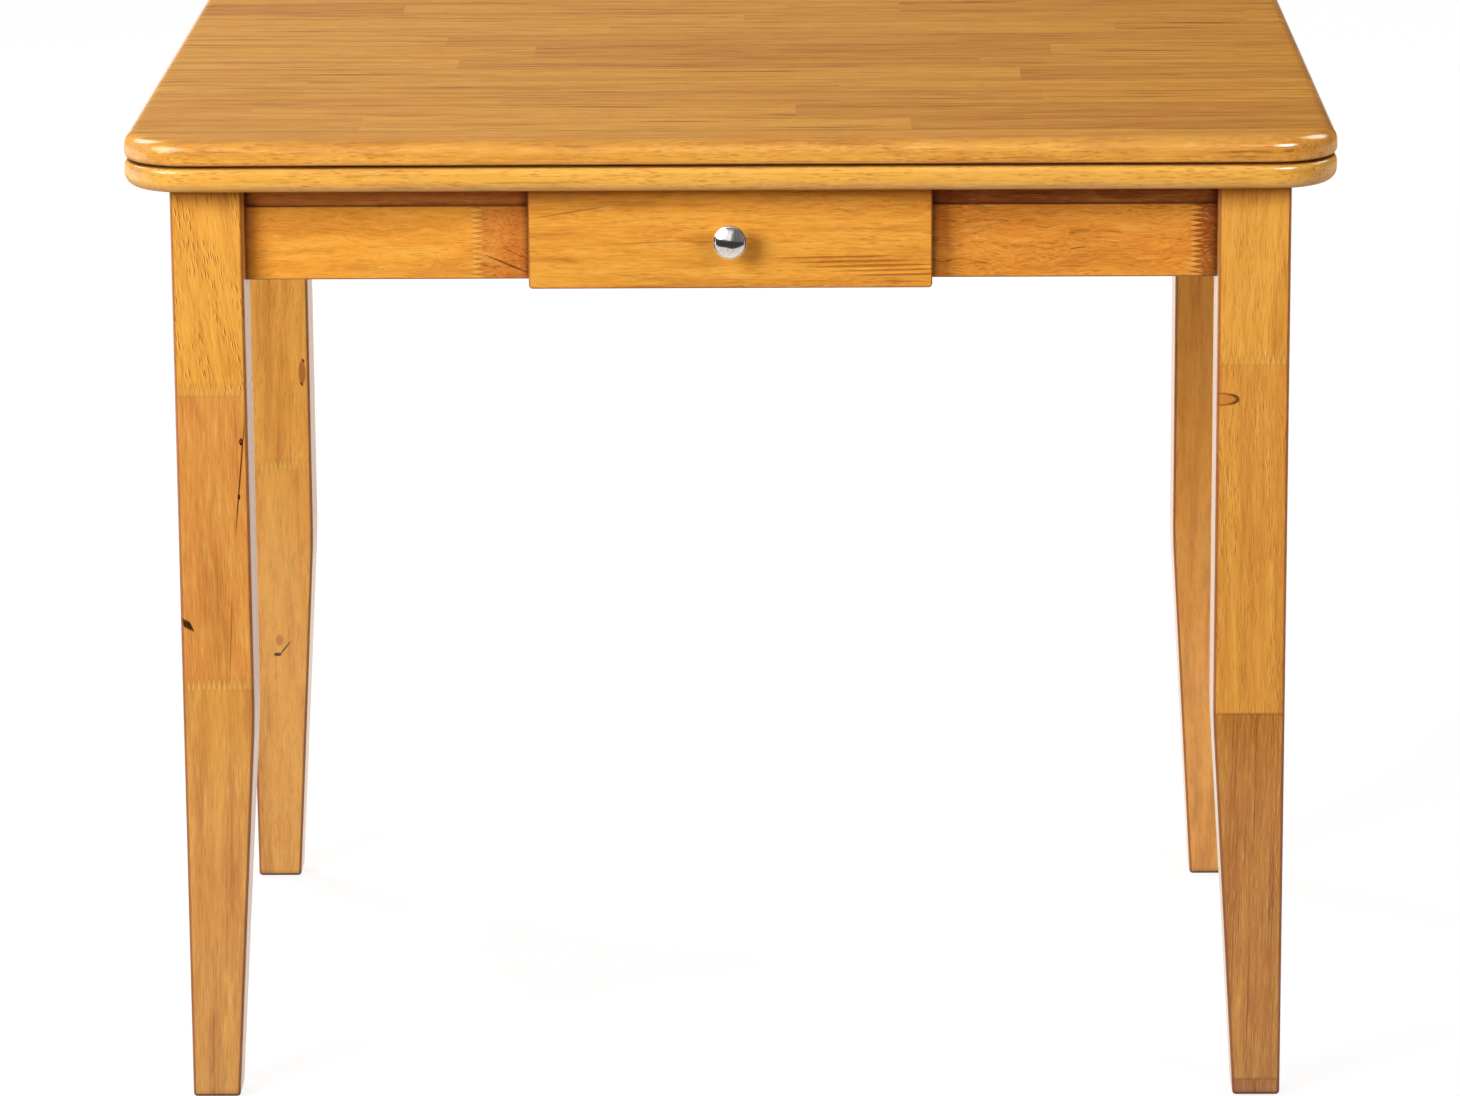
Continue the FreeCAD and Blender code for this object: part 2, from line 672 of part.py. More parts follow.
def hinge_plate(middle, side):
    """One plate with its knuckles; side is -1 for the lower leaf and 1 for the upper one."""
    near = hinge_z + side * leaf_gap / 2
    far = near + side * hinge_plate_height
    x0 = middle - hinge_length / 2
    plate = box(x0, x0 + hinge_length, leaf_rear - hinge_plate_thick, leaf_rear, near, far)
    own, other = (0, 1) if side < 0 else (1, 0)
    for start, end in knuckles(middle, other):
        gap = knuckle_end_gap
        plate = plate.cut(axis_rod(knuckle_radius + knuckle_relief, start - gap, end + gap))
    for start, end in knuckles(middle, own):
        plate = plate.fuse(axis_rod(knuckle_radius, start, end))
    bore = axis_rod(hinge_pin_radius + running_clear, x0 - overcut, x0 + hinge_length + overcut)
    plate = plate.removeSplitter().cut(bore)
    return drill(plate, [screw_hole(hinge_screw, *spot) for spot in hinge_screw_spots(side)])


def hinge_pocket(middle, side):
    """Room in a leaf's rear edge for one plate and for the knuckles."""
    near = hinge_z
    far = hinge_z + side * (leaf_gap / 2 + hinge_plate_height + dowel_clear)
    x0 = middle - hinge_length / 2 - dowel_clear
    x1 = middle + hinge_length / 2 + dowel_clear
    pocket = box(x0, x1, leaf_rear - hinge_plate_thick, hinge_y, near, far)
    return pocket.fuse(axis_rod(knuckle_radius + knuckle_relief, x0, x1))


HINGE_NAMES = ("left", "middle", "right")


# ---- Leaves -------------------------------------------------------------------------
def leaf_blank(bottom, meeting_level):
    """Board with two rounded front corners, rounded over on three sides, and a square rear edge."""
    half = top_width / 2
    r = leaf_corner_radius
    bow = r * (1 - math.sqrt(0.5))
    rear_left = Vector(-half, leaf_rear, bottom)
    rear_right = Vector(half, leaf_rear, bottom)
    left = Vector(-half, leaf_front + r, bottom)
    right = Vector(half, leaf_front + r, bottom)
    front_left = Vector(-half + r, leaf_front, bottom)
    front_right = Vector(half - r, leaf_front, bottom)
    edges = [
        Part.LineSegment(rear_left, left).toShape(),
        Part.Arc(left, Vector(-half + bow, leaf_front + bow, bottom), front_left).toShape(),
        Part.LineSegment(front_left, front_right).toShape(),
        Part.Arc(front_right, Vector(half - bow, leaf_front + bow, bottom), right).toShape(),
        Part.LineSegment(right, rear_right).toShape(),
        Part.LineSegment(rear_right, rear_left).toShape(),
    ]
    board = Part.Face(Part.Wire(edges)).extrude(Z_AXIS * leaf_thick)

    def rounded(edge):
        return edge.BoundBox.ZLength < flat and edge.BoundBox.YMin < leaf_rear - edge_margin

    def meeting(edge):
        return rounded(edge) and abs(edge.BoundBox.ZMin - meeting_level) < edge_margin

    board = eased(board, bullnose_radius, lambda edge: rounded(edge) and not meeting(edge))
    return eased(board, meeting_radius, meeting)


def bumper_places():
    """Middles of the clear bumpers between the leaves."""
    x = top_width / 2 - bumper_inset
    y = top_depth / 2 - bumper_inset
    z = lower_leaf_top - bumper_depth
    return [Vector(side_x * x, side_y * y, z) for side_x, side_y in CORNERS.values()]


def flange_screw_spots():
    """Four screws up through the pivot flange into the lower leaf."""
    spots = []
    for i in range(4):
        angle = math.radians(45 + 90 * i)
        x = pivot_x + flange_screw_circle * math.cos(angle)
        y = pivot_y + flange_screw_circle * math.sin(angle)
        spots.append((Vector(x, y, lower_leaf_bottom), Z_AXIS))
    return spots


def make_lower_leaf(nodes):
    """Lower leaf with its bumpers, its half of the hinges and the pins."""
    up = Z_AXIS
    pivot = Vector(pivot_x, pivot_y, lower_leaf_bottom)
    pin_x, pin_y = stop_pin_at(stop_start_deg)
    pin_low = Vector(pin_x, pin_y, lower_leaf_bottom + stop_pin_depth - stop_pin_length)
    pin_high = Vector(pin_x, pin_y, lower_leaf_bottom + stop_pin_depth)
    bumper_cut = bumper_depth + overcut
    cutters = [hinge_pocket(middle, -1) for middle in hinge_middles()]
    cutters += [screw_hole(hinge_screw, *spot) for spot in hinge_screw_spots(-1)]
    cutters += [screw_hole(flange_screw, *spot) for spot in flange_screw_spots()]
    cutters += [rod(bumper_radius + dowel_clear, spot, spot + up * bumper_cut) for spot in bumper_places()]
    cutters.append(rod(flange_radius + dowel_clear, pivot - up * overcut, pivot + up * flange_thick))
    cutters.append(rod(stop_pin_radius + dowel_clear, pin_low, pin_high + up * dowel_end_clear))
    nodes["lower_leaf"] = drill(leaf_blank(lower_leaf_bottom, lower_leaf_top), cutters)
    nodes["swivel_stop_pin"] = rod(stop_pin_radius, pin_low, pin_high)
    thick = bumper_depth + leaf_gap
    nodes["leaf_bumpers"] = group([rod(bumper_radius, spot, spot + up * thick) for spot in bumper_places()])
    for name, middle in zip(HINGE_NAMES, hinge_middles()):
        nodes["hinge_lower_plate_" + name] = hinge_plate(middle, -1)
    half = hinge_length / 2
    nodes["hinge_pins"] = group([axis_rod(hinge_pin_radius, x - half, x + half) for x in hinge_middles()])
    nodes["lower_hinge_screws"] = group([screw(hinge_screw, *spot) for spot in hinge_screw_spots(-1)])


def make_upper_leaf(nodes):
    """Upper leaf with its half of the hinges."""
    cutters = [hinge_pocket(middle, 1) for middle in hinge_middles()]
    cutters += [screw_hole(hinge_screw, *spot) for spot in hinge_screw_spots(1)]
    nodes["upper_leaf"] = drill(leaf_blank(upper_leaf_bottom, upper_leaf_bottom), cutters)
    for name, middle in zip(HINGE_NAMES, hinge_middles()):
        nodes["hinge_upper_plate_" + name] = hinge_plate(middle, 1)
    nodes["upper_hinge_screws"] = group([screw(hinge_screw, *spot) for spot in hinge_screw_spots(1)])


# ---- Swivel -------------------------------------------------------------------------
def make_swivel(nodes):
    """Flange and stud on the lower leaf, bush in the rail, washers and lock nut below."""
    def level(z):
        return Vector(pivot_x, pivot_y, z)

    bore = stud_radius + running_clear
    washer_top = apron_top - bush_flange_thick
    spring_top = washer_top - pivot_washer_thick
    nut_top = spring_top - spring_washer_thick
    nut_bottom = nut_top - lock_nut_height
    flange = rod(flange_radius, level(lower_leaf_bottom), level(lower_leaf_bottom + flange_thick))
    stud = rod(stud_radius, level(nut_bottom - stud_end), level(lower_leaf_bottom + stud_root))
    flange = flange.fuse(stud)
    flange = drill(flange, [screw_hole(flange_screw, *spot) for spot in flange_screw_spots()])
    nodes["pivot_flange"] = flange
    nodes["pivot_flange_screws"] = group([screw(flange_screw, *spot) for spot in flange_screw_spots()])
    slip_outer = flange_radius - slip_ring_inset
    slip_bore = bore + slip_ring_clear
    nodes["pivot_slip_ring"] = ring(slip_outer, slip_bore, level(leg_top), level(lower_leaf_bottom))
    sleeve = ring(bore + bush_wall, bore, level(washer_top), level(leg_top))
    nodes["pivot_bush"] = sleeve.fuse(ring(bush_flange_radius, bore, level(washer_top), level(apron_top)))
    hole = bore + washer_clear
    nodes["pivot_washer"] = ring(pivot_washer_radius, hole, level(spring_top), level(washer_top))
    nodes["pivot_spring_washer"] = ring(spring_washer_radius, hole, level(nut_top), level(spring_top))
    corner = lock_nut_width / math.sqrt(3)
    turns = [math.pi * i / 3 for i in range(6)]
    points = [level(nut_bottom) + Vector(math.cos(turn), math.sin(turn), 0) * corner for turn in turns]
    nut = Part.Face(Part.makePolygon(points + points[:1])).extrude(Z_AXIS * lock_nut_height)
    nodes["pivot_lock_nut"] = nut.cut(rod(bore, level(nut_bottom - overcut), level(nut_top + overcut)))


# ---- Drawer -------------------------------------------------------------------------
def drawer_dowel_lines():
    """Two dowels from the back of the front into the end of each side."""
    half = drawer_dowel_length / 2
    x = (drawer_outer_x + drawer_inner_x) / 2
    heights = (drawer_board_top + drawer_dowel_low, drawer_box_top - drawer_dowel_high)
    middles = [Vector(side * x, drawer_back_of_front, z) for side in (-1, 1) for z in heights]
    return [(middle - Y_AXIS * half, middle + Y_AXIS * half) for middle in middles]


def drawer_screw_spots():
    """Two screws through each side into the back, and two up through the stop block."""
    y = drawer_rear - drawer_back_thick / 2
    heights = (drawer_board_top + drawer_screw_low, drawer_box_top - drawer_screw_high)
    spots = [(Vector(side * drawer_outer_x, y, z), X_AXIS * -side) for side in (-1, 1) for z in heights]
    z = drawer_board_bottom - stop_block_drop
    for side in (-1, 1):
        spots.append((Vector(side * stop_block_width / 4, y, z), Z_AXIS))
    return spots


def knob():
    """Turned knob with a domed face, standing on the drawer front."""
    base = [Vector(0, 0, 0), Vector(knob_base_radius, 0, 0), Vector(knob_base_radius, 0, knob_base_thick),
            Vector(knob_neck_radius, 0, knob_neck_start), Vector(knob_neck_radius, 0, knob_neck_end)]
    rim_low = Vector(knob_radius - knob_rim / 2, 0, knob_rim_end - knob_rim)
    rim_mid = Vector(knob_radius, 0, knob_rim_end - knob_rim / 2)
    rim_high = Vector(knob_radius - knob_rim / 2, 0, knob_rim_end)
    hollow = (base[-1] + rim_low) * 0.5 + Vector(knob_flare_bow, 0, -knob_flare_bow)
    rise = knob_projection - knob_rim_end
    dome = (rim_high.x ** 2 + rise ** 2) / (2 * rise)
    half_turn = math.asin(rim_high.x / dome) / 2
    dome_mid = Vector(dome * math.sin(half_turn), 0, knob_projection - dome * (1 - math.cos(half_turn)))
    crown = Vector(0, 0, knob_projection)
    pieces = [Part.LineSegment(start, end) for start, end in zip(base, base[1:])]
    pieces.append(Part.Arc(base[-1], hollow, rim_low))
    pieces.append(Part.Arc(rim_low, rim_mid, rim_high))
    pieces.append(Part.Arc(rim_high, dome_mid, crown))
    pieces.append(Part.LineSegment(crown, base[0]))
    face = Part.Face(Part.Wire([piece.toShape() for piece in pieces]))
    body = face.revolve(Vector(0, 0, 0), Z_AXIS, 360)
    bore_end = knob_screw_in_knob + dowel_end_clear
    bore = rod(knob_screw_radius + screw_clear, -Z_AXIS * overcut, Z_AXIS * bore_end)
    return aimed(body.cut(bore), Vector(0, drawer_front_y, knob_z), -Y_AXIS)


def make_drawer(nodes):
    """Drawer box with an overlaid front, its knob and the block that stops it."""
    dowel_holes = [dowel_hole(drawer_dowel_radius, *line) for line in drawer_dowel_lines()]
    screw_holes = [screw_hole(drawer_screw, *spot) for spot in drawer_screw_spots()]
    half = drawer_front_width / 2
    board_x = drawer_inner_x + drawer_groove_depth
    board_front = drawer_back_of_front - drawer_groove_depth
    groove_x = board_x + groove_clear
    groove_y = board_front - groove_clear
    groove = box(-groove_x, groove_x, groove_y, drawer_rear + overcut,
                 drawer_board_bottom - groove_clear, drawer_board_top + groove_clear)
    knob_back = Vector(0, drawer_back_of_front, knob_z)
    knob_hole = rod(knob_screw_radius + screw_clear, knob_back, Vector(0, drawer_front_y, knob_z))

    front = box(-half, half, drawer_front_y, drawer_back_of_front, drawer_front_bottom, drawer_front_top)
    front = eased(front, drawer_front_corner_radius, lambda edge: edge.BoundBox.YLength > edge_margin)
    front = eased(front, drawer_front_edge_radius, lambda edge: edge.BoundBox.YMax < drawer_front_y + flat)
    nodes["drawer_front"] = drill(front, dowel_holes + [groove, knob_hole])

    for name, side in (("left", -1), ("right", 1)):
        board = box(side * drawer_inner_x, side * drawer_outer_x, drawer_back_of_front, drawer_rear,
                    drawer_box_bottom, drawer_box_top)
        nodes["drawer_side_" + name] = drill(board, dowel_holes + screw_holes + [groove])
    back = box(-drawer_inner_x, drawer_inner_x, drawer_rear - drawer_back_thick, drawer_rear,
               drawer_board_top, drawer_box_top)
    nodes["drawer_back"] = drill(back, screw_holes)
    bottom = box(-board_x, board_x, board_front, drawer_rear, drawer_board_bottom, drawer_board_top)
    nodes["drawer_bottom"] = drill(bottom, screw_holes)

    stop_front = -apron_inner_y + drawer_travel
    stop = box(-stop_block_width / 2, stop_block_width / 2, stop_front, drawer_rear,
               drawer_board_bottom - stop_block_drop, drawer_board_bottom)
    nodes["drawer_stop_block"] = drill(stop, screw_holes)
    nodes["drawer_dowels"] = group([rod(drawer_dowel_radius, *line) for line in drawer_dowel_lines()])
    nodes["drawer_screws"] = group([screw(drawer_screw, *spot) for spot in drawer_screw_spots()])

    nodes["drawer_knob"] = knob()
    head = rod(knob_screw_head_radius, knob_back, knob_back + Y_AXIS * knob_screw_head_height)
    head_rim = drawer_back_of_front + edge_margin
    head = eased(head, knob_screw_head_edge, lambda edge: edge.BoundBox.YMin > head_rim)
    tip = Vector(0, drawer_front_y - knob_screw_in_knob, knob_z)
    nodes["knob_screw"] = head.fuse(rod(knob_screw_radius, tip, knob_back + Y_AXIS * knob_screw_root))


nodes = {}
make_frame(nodes)
make_swivel(nodes)
make_lower_leaf(nodes)
make_upper_leaf(nodes)
make_drawer(nodes)

os.makedirs("parts", exist_ok=True)
for name, shape in nodes.items():
    shape.exportStep("parts/" + name + ".step")
    print(name, "solids", len(shape.Solids), "valid", shape.isValid())
print(len(nodes), "nodes")
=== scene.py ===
# %% [markdown]
# # A small tavern table in lacquered rubberwood
# The table has a top of two leaves that turns a quarter and unfolds, and one drawer. Its shape is
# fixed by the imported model, so this lesson is about finish: finger-jointed rubberwood under gloss
# lacquer, plated steel, rolled brass, nickel, felt and nylon. The model is loaded first, because
# every later step takes its places from it.

import math

import bmesh
import bpy
from mathutils import Matrix, Vector


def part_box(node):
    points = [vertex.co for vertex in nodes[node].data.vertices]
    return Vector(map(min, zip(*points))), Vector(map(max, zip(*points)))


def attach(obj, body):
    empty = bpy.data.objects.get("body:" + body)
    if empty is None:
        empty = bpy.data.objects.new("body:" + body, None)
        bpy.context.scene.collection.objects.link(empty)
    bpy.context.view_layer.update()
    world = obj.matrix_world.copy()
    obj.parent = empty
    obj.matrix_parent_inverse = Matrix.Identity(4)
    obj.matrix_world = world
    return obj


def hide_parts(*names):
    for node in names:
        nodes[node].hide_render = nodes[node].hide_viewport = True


MM_PER_M = 1000.0

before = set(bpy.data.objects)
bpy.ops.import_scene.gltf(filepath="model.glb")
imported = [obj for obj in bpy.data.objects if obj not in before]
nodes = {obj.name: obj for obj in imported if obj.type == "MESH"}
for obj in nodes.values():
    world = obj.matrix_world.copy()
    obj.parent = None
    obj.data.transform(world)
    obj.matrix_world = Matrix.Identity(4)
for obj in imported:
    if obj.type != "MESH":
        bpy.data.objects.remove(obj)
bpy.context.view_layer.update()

# %% [markdown]
# ## Colour
# Paint and timber colours are usually given as sRGB hex values, but a shader works in linear
# light. One function turns the first into the second, so every colour below can be checked
# against a swatch.

# %% Hex colours to linear light
WHITE = (1.0, 1.0, 1.0, 1.0)


def linear(hex_colour):
    """Linear RGBA of an sRGB hex colour such as #E9A94C."""
    channels = [int(hex_colour[i:i + 2], 16) / 255 for i in (1, 3, 5)]
    bright = [c / 12.92 if c <= 0.04045 else ((c + 0.055) / 1.055) ** 2.4 for c in channels]
    return (*bright, 1.0)


print("golden rubberwood in linear light:", [round(c, 3) for c in linear("#E9A94C")])

# %% [markdown]
# ## Building node trees
# A procedural finish is a tree of small nodes. Adding them by hand takes a line per link, so one
# function adds a node, gives it its settings, and feeds its inputs with numbers, nodes or
# sockets. Feeds go to the open inputs in order; a feed given by name goes to that input.

# %% Add one node with its settings and links
def add(tree, kind, *feeds, **named):
    """Add a node and feed its inputs; what is named is a setting, or else an input."""
    node = tree.nodes.new("ShaderNode" + kind)
    settings = {name: value for name, value in named.items() if hasattr(node, name)}
    for name, value in settings.items():
        setattr(node, name, value)
    pairs = list(zip([socket for socket in node.inputs if socket.enabled], feeds))
    pairs += [(node.inputs[name.replace("_", " ")], value) for name, value in named.items()
              if name not in settings]
    for socket, value in pairs:
        if isinstance(value, bpy.types.Node):
            value = next(output for output in value.outputs if output.enabled)
        if isinstance(value, bpy.types.NodeSocket):
            tree.links.new(value, socket)
        elif value is not None:
            socket.default_value = value
    return node


def new_material(name):
    """An empty material and its tree, ready for nodes."""
    material = bpy.data.materials.new(name)
    material.use_nodes = True
    material.node_tree.nodes.clear()
    return material, material.node_tree


print("a node kind goes without its ShaderNode prefix, as in add(tree, 'Math', 1, 2)")

# %% [markdown]
# ## The camera
# The view is level with a standing eye a few metres in front of the table, through a long lens,
# so the legs stay nearly parallel. A camera looks along its own -Z, so its matrix is built from
# the direction it looks in, its right and its up.

# %% Place the camera
EYE_MM = (71.6, -5043.8, 1579.1)
YAW, PITCH, ROLL = -0.0155, 0.2377, -0.0068
LENS_MM = 159.86
SENSOR_MM = 36.0

forward = Vector((math.sin(YAW) * math.cos(PITCH),
                  math.cos(YAW) * math.cos(PITCH),
                  -math.sin(PITCH)))
level_right = Vector((math.cos(YAW), -math.sin(YAW), 0))
level_up = level_right.cross(forward)
right = level_right * math.cos(ROLL) + level_up * math.sin(ROLL)
up = level_up * math.cos(ROLL) - level_right * math.sin(ROLL)

camera = bpy.data.objects.new("camera", bpy.data.cameras.new("camera"))
bpy.context.scene.collection.objects.link(camera)
camera.data.lens = LENS_MM
camera.data.sensor_width = SENSOR_MM
turn = Matrix((right, up, -forward)).transposed()
camera.matrix_world = Matrix.Translation(Vector(EYE_MM) / MM_PER_M) @ turn.to_4x4()
bpy.context.scene.camera = camera
bpy.context.scene.view_settings.view_transform = "Standard"
print("camera at", [round(c, 3) for c in camera.location], "m")

# %% [markdown]
# ## Four soft lamps
# A glossy table is usually lit by a strong soft box on one side and a weaker one on the other, both
# a little above the top. The strong one, on the left, makes the front bright, throws a short soft
# shade under the leaf, and gives each step in the front a shade on its right. Two more stand
# behind and higher, and light the top, which the front pair only grazes. Gloss doesn't mirror
# these four, because their hard edges would wash out the whole top from some sides. It mirrors
# soft boxes in the room, made further down.

# %% Light the table
# where each lamp stands, its width and height in metres, and how bright it makes white paint
LAMPS = {
    "lamp_front_left": ((-2.15, -2.63, 1.89), (1.70, 1.40), 0.99),
    "lamp_front_right": ((2.15, -2.63, 1.84), (1.70, 1.40), 0.43),
    "lamp_rear_left": ((-2.75, 2.65, 2.30), (1.80, 1.50), 0.76),
    "lamp_rear_right": ((2.95, 2.65, 2.30), (1.80, 1.50), 0.34),
}
FRONT_TARGET = Vector((0, -0.33, 0.62))
TOP_TARGET = Vector((0, 0, 0.75))


def area_lamp(name, shape, size, place):
    """An area lamp that stands at a place and is still to be turned and given its power."""
    light = bpy.data.lights.new(name, "AREA")
    light.shape = shape
    light.size, light.size_y = size
    lamp = bpy.data.objects.new(name, light)
    bpy.context.scene.collection.objects.link(lamp)
    lamp.location = place
    return lamp


for name, (place, size, brightness) in LAMPS.items():
    target = FRONT_TARGET if "front" in name else TOP_TARGET
    away = target - Vector(place)
    lamp = area_lamp(name, "RECTANGLE", size, place)
    lamp.rotation_euler = away.to_track_quat("-Z", "Y").to_euler()
    # power / (pi * distance) ** 2 is how bright a lamp makes white paint that faces it
    lamp.data.energy = brightness * math.pi ** 2 * away.length_squared
    lamp.visible_glossy = False
    print(name, "gives", round(lamp.data.energy), "W from", round(away.length, 2), "m")

# %% [markdown]
# ## A lamp for glints
# The right corners of the leaves have a glint too, but the knob has none on that side, as when a
# black card stands beside it. This lamp lights nothing matt and only gives glints, and light
# linking will keep it off the knob. It is an ellipse that is bright in the middle and fades out
# towards its rim, as a diffused lamp does, so a glint has no hard edge.

# %% Hang the glint lamp
GLINT_PLACE = (1.60, -2.55, 2.25)
GLINT_SIZE = (2.2, 1.6)
GLINT_ENERGY = 330.0
LAMP_MIDDLE = (0.5, 0.5, 0.0)
LAMP_RIM = 0.5

glint_away = FRONT_TARGET - Vector(GLINT_PLACE)
glint_lamp = area_lamp("lamp_glint_right", "ELLIPSE", GLINT_SIZE, GLINT_PLACE)
glint_lamp.rotation_euler = glint_away.to_track_quat("-Z", "Y").to_euler()
glint_lamp.data.energy = GLINT_ENERGY
glint_lamp.data.use_nodes = True
glint_lamp.visible_diffuse = False

tree = glint_lamp.data.node_tree
tree.nodes.clear()
on_lamp = add(tree, "NewGeometry").outputs["Parametric"]
from_middle = add(tree, "VectorMath", on_lamp, LAMP_MIDDLE, operation="SUBTRACT")
off_middle = add(tree, "VectorMath", from_middle, operation="LENGTH").outputs["Value"]
fade = add(tree, "MapRange", off_middle, LAMP_RIM, 0.0, 0.0, 1.0, interpolation_type="SMOOTHSTEP")
add(tree, "OutputLight", add(tree, "Emission", WHITE, fade))
print("glint lamp stands", round(glint_away.length, 2), "m away")

# %% [markdown]
# ## Light from the paper
# White paper throws a good part of the lamps' light back up. That light fills the undersides of
# the rounded edges, which no lamp reaches. A wide faint lamp that lies on the paper in front of
# the table and faces up stands for it. It is warm, because it comes by way of the wood too.

# %% Lay the lamp for the light thrown back
BOUNCE_PLACE = (0.0, -2.15, 0.01)
BOUNCE_SIZE = (6.0, 3.6)
BOUNCE_BRIGHTNESS = 0.13
BOUNCE_TONE = (1.0, 0.70, 0.48)

bounce_lamp = area_lamp("lamp_bounce", "RECTANGLE", BOUNCE_SIZE, BOUNCE_PLACE)
bounce_lamp.rotation_euler = (math.pi, 0, 0)
bounce_lamp.data.color = BOUNCE_TONE
# the power that makes the face of the lamp as bright as this
bounce_lamp.data.energy = BOUNCE_BRIGHTNESS * math.pi * BOUNCE_SIZE[0] * BOUNCE_SIZE[1]
bounce_lamp.visible_camera = False
bounce_lamp.visible_glossy = False
bounce_lamp.visible_transmission = False
print("light thrown back:", round(bounce_lamp.data.energy), "W")

# %% [markdown]
# ## The room that gloss mirrors
# What a gloss finish shows is the room. Reflections see a studio: white on the left and grey on
# the right, with a dark stretch of floor in front of the paper and a darker wall behind. The
# front of the table mirrors the dark floor and its top mirrors the wall, so the lacquer keeps its
# colour. Each part is a range of directions with soft edges, so each can be set by itself.

# %% Paint the room
DARK_FRONT_TONE = 0.05
DARK_FRONT = (-0.54, 0.01)
DARK_FRONT_TILT = 0.16
DARK_FRONT_ENDS = (-0.35, -0.15)
WALL_LEFT, WALL_RIGHT = 0.40, 0.09
WALL_FADE = (-0.10, 0.10)
WALL_BACK = (0.03, 0.66)
WALL_BACK_ENDS = (0.35, 0.60)
SOFT_EDGE = 0.03
PALE_LEFT, PALE_RIGHT = 1.10, 0.17
PALE_FADE = (-0.16, 0.24)
PALE_TILT = -0.22
PALE_TOP = (0.60, 0.80)
PALE_OVERHEAD = 0.3

world = bpy.data.worlds.new("studio")
world.use_nodes = True
bpy.context.scene.world = world
room = world.node_tree
room.nodes.clear()


def band(tree, value, low, high, edge):
    """1 where a value lies between two limits, with soft edges."""
    rise = add(tree, "MapRange", value, low - edge, low + edge, 0.0, 1.0,
               interpolation_type="SMOOTHSTEP")
    fall = add(tree, "MapRange", value, high - edge, high + edge, 1.0, 0.0,
               interpolation_type="SMOOTHSTEP")
    return add(tree, "Math", rise, fall, operation="MULTIPLY")


way = add(room, "TexCoord").outputs["Generated"]
sideways, deep, height = add(room, "SeparateXYZ", way).outputs
tilted = add(room, "Math", sideways, DARK_FRONT_TILT, height, operation="MULTIPLY_ADD")
ahead = add(room, "MapRange", deep, *DARK_FRONT_ENDS, 1.0, 0.0)
front = add(room, "Math", band(room, tilted, *DARK_FRONT, SOFT_EDGE), ahead, operation="MULTIPLY")
behind = add(room, "MapRange", deep, *WALL_BACK_ENDS, 0.0, 1.0)
back = add(room, "Math", band(room, height, *WALL_BACK, SOFT_EDGE), behind, operation="MULTIPLY")

across = add(room, "Math", height, PALE_TILT, sideways, operation="MULTIPLY_ADD")
pale = add(room, "MapRange", across, *PALE_FADE, PALE_LEFT, PALE_RIGHT, interpolation_type="SMOOTHSTEP")
overhead = add(room, "MapRange", height, *PALE_TOP, 1.0, PALE_OVERHEAD, interpolation_type="SMOOTHSTEP")
pale = add(room, "Math", pale, overhead, operation="MULTIPLY")
wall = add(room, "MapRange", sideways, *WALL_FADE, WALL_LEFT, WALL_RIGHT)
seen = add(room, "Mix", front, pale, DARK_FRONT_TONE, data_type="FLOAT")
seen = add(room, "Mix", back, seen, wall, data_type="FLOAT")
print("the wall behind is", WALL_LEFT, "bright on the left and", WALL_RIGHT, "on the right")

# %% [markdown]
# ## Soft boxes, white and fill
# Three round soft boxes hang high, one front left and one in each rear corner, where only rounded
# edges and the knob catch them. The eye, and what is seen through clear plastic, get plain white
# in place of the room. Matt surfaces get a little fill, which is warm like light that has bounced
# off wood, so shaded wood turns brown, not olive.

# %% Hang the soft boxes and choose what each ray sees
# the direction of a box, its half width in degrees, and its strength
SOFT_BOXES = [
    ((-0.61, -0.61, 0.50), 29, 9.0),
    ((-0.58, 0.45, 0.68), 21, 8.0),
    ((0.60, 0.43, 0.68), 21, 8.0),
]
FILL = 0.075
FILL_TONE = (1.0, 0.42, 0.16, 1.0)

for aim, spread, box_strength in SOFT_BOXES:
    towards = add(room, "VectorMath", way, Vector(aim).normalized(), operation="DOT_PRODUCT")
    rim = math.cos(math.radians(spread))
    box = add(room, "MapRange", towards.outputs["Value"], rim, 1.0, 0.0, box_strength,
              interpolation_type="SMOOTHSTEP")
    seen = add(room, "Math", seen, box, operation="ADD")

rays = add(room, "LightPath").outputs
plain = add(room, "Math", rays["Is Camera Ray"], rays["Is Transmission Ray"], operation="MAXIMUM")
glossy = add(room, "Mix", rays["Is Glossy Ray"], FILL, seen, data_type="FLOAT")
strength = add(room, "Mix", plain, glossy, 1.0, data_type="FLOAT")
untinted = add(room, "Math", plain, rays["Is Glossy Ray"], operation="MAXIMUM")
fill_tone = add(room, "Mix", untinted, FILL_TONE, WHITE, data_type="RGBA").outputs["Result"]
add(room, "OutputWorld", add(room, "Background", fill_tone, strength))
print(len(SOFT_BOXES), "soft boxes; fill from the room:", FILL)

# %% [markdown]
# ## The floor
# The table stands on a roll of pale paper, which runs far behind it, so that no edge shows there.

# %% Lay the paper
PAPER_FRONT = -1.28
PAPER_BACK = 9.0
PAPER_SIDE = 7.0

paper_mesh = bpy.data.meshes.new("paper")
corners = [(-PAPER_SIDE, PAPER_FRONT, 0), (PAPER_SIDE, PAPER_FRONT, 0),
           (PAPER_SIDE, PAPER_BACK, 0), (-PAPER_SIDE, PAPER_BACK, 0)]
paper_mesh.from_pydata(corners, [], [(0, 1, 2, 3)])
paper = bpy.data.objects.new("paper", paper_mesh)
bpy.context.scene.collection.objects.link(paper)
print("paper reaches", PAPER_BACK, "m behind the table")

# %% [markdown]
# ## White paper
# Real paper would look grey away from the lamps, so this one also glows: for the eye enough to
# read as white, and for reflections less near the front, where the lacquer should stay dark.
# The light that falls on it is added to the glow, so the shade of the table stays. On the far
# left the mirrored paper is brighter, as if a white board lay there, which gives the left
# corners of the leaves their sheen.

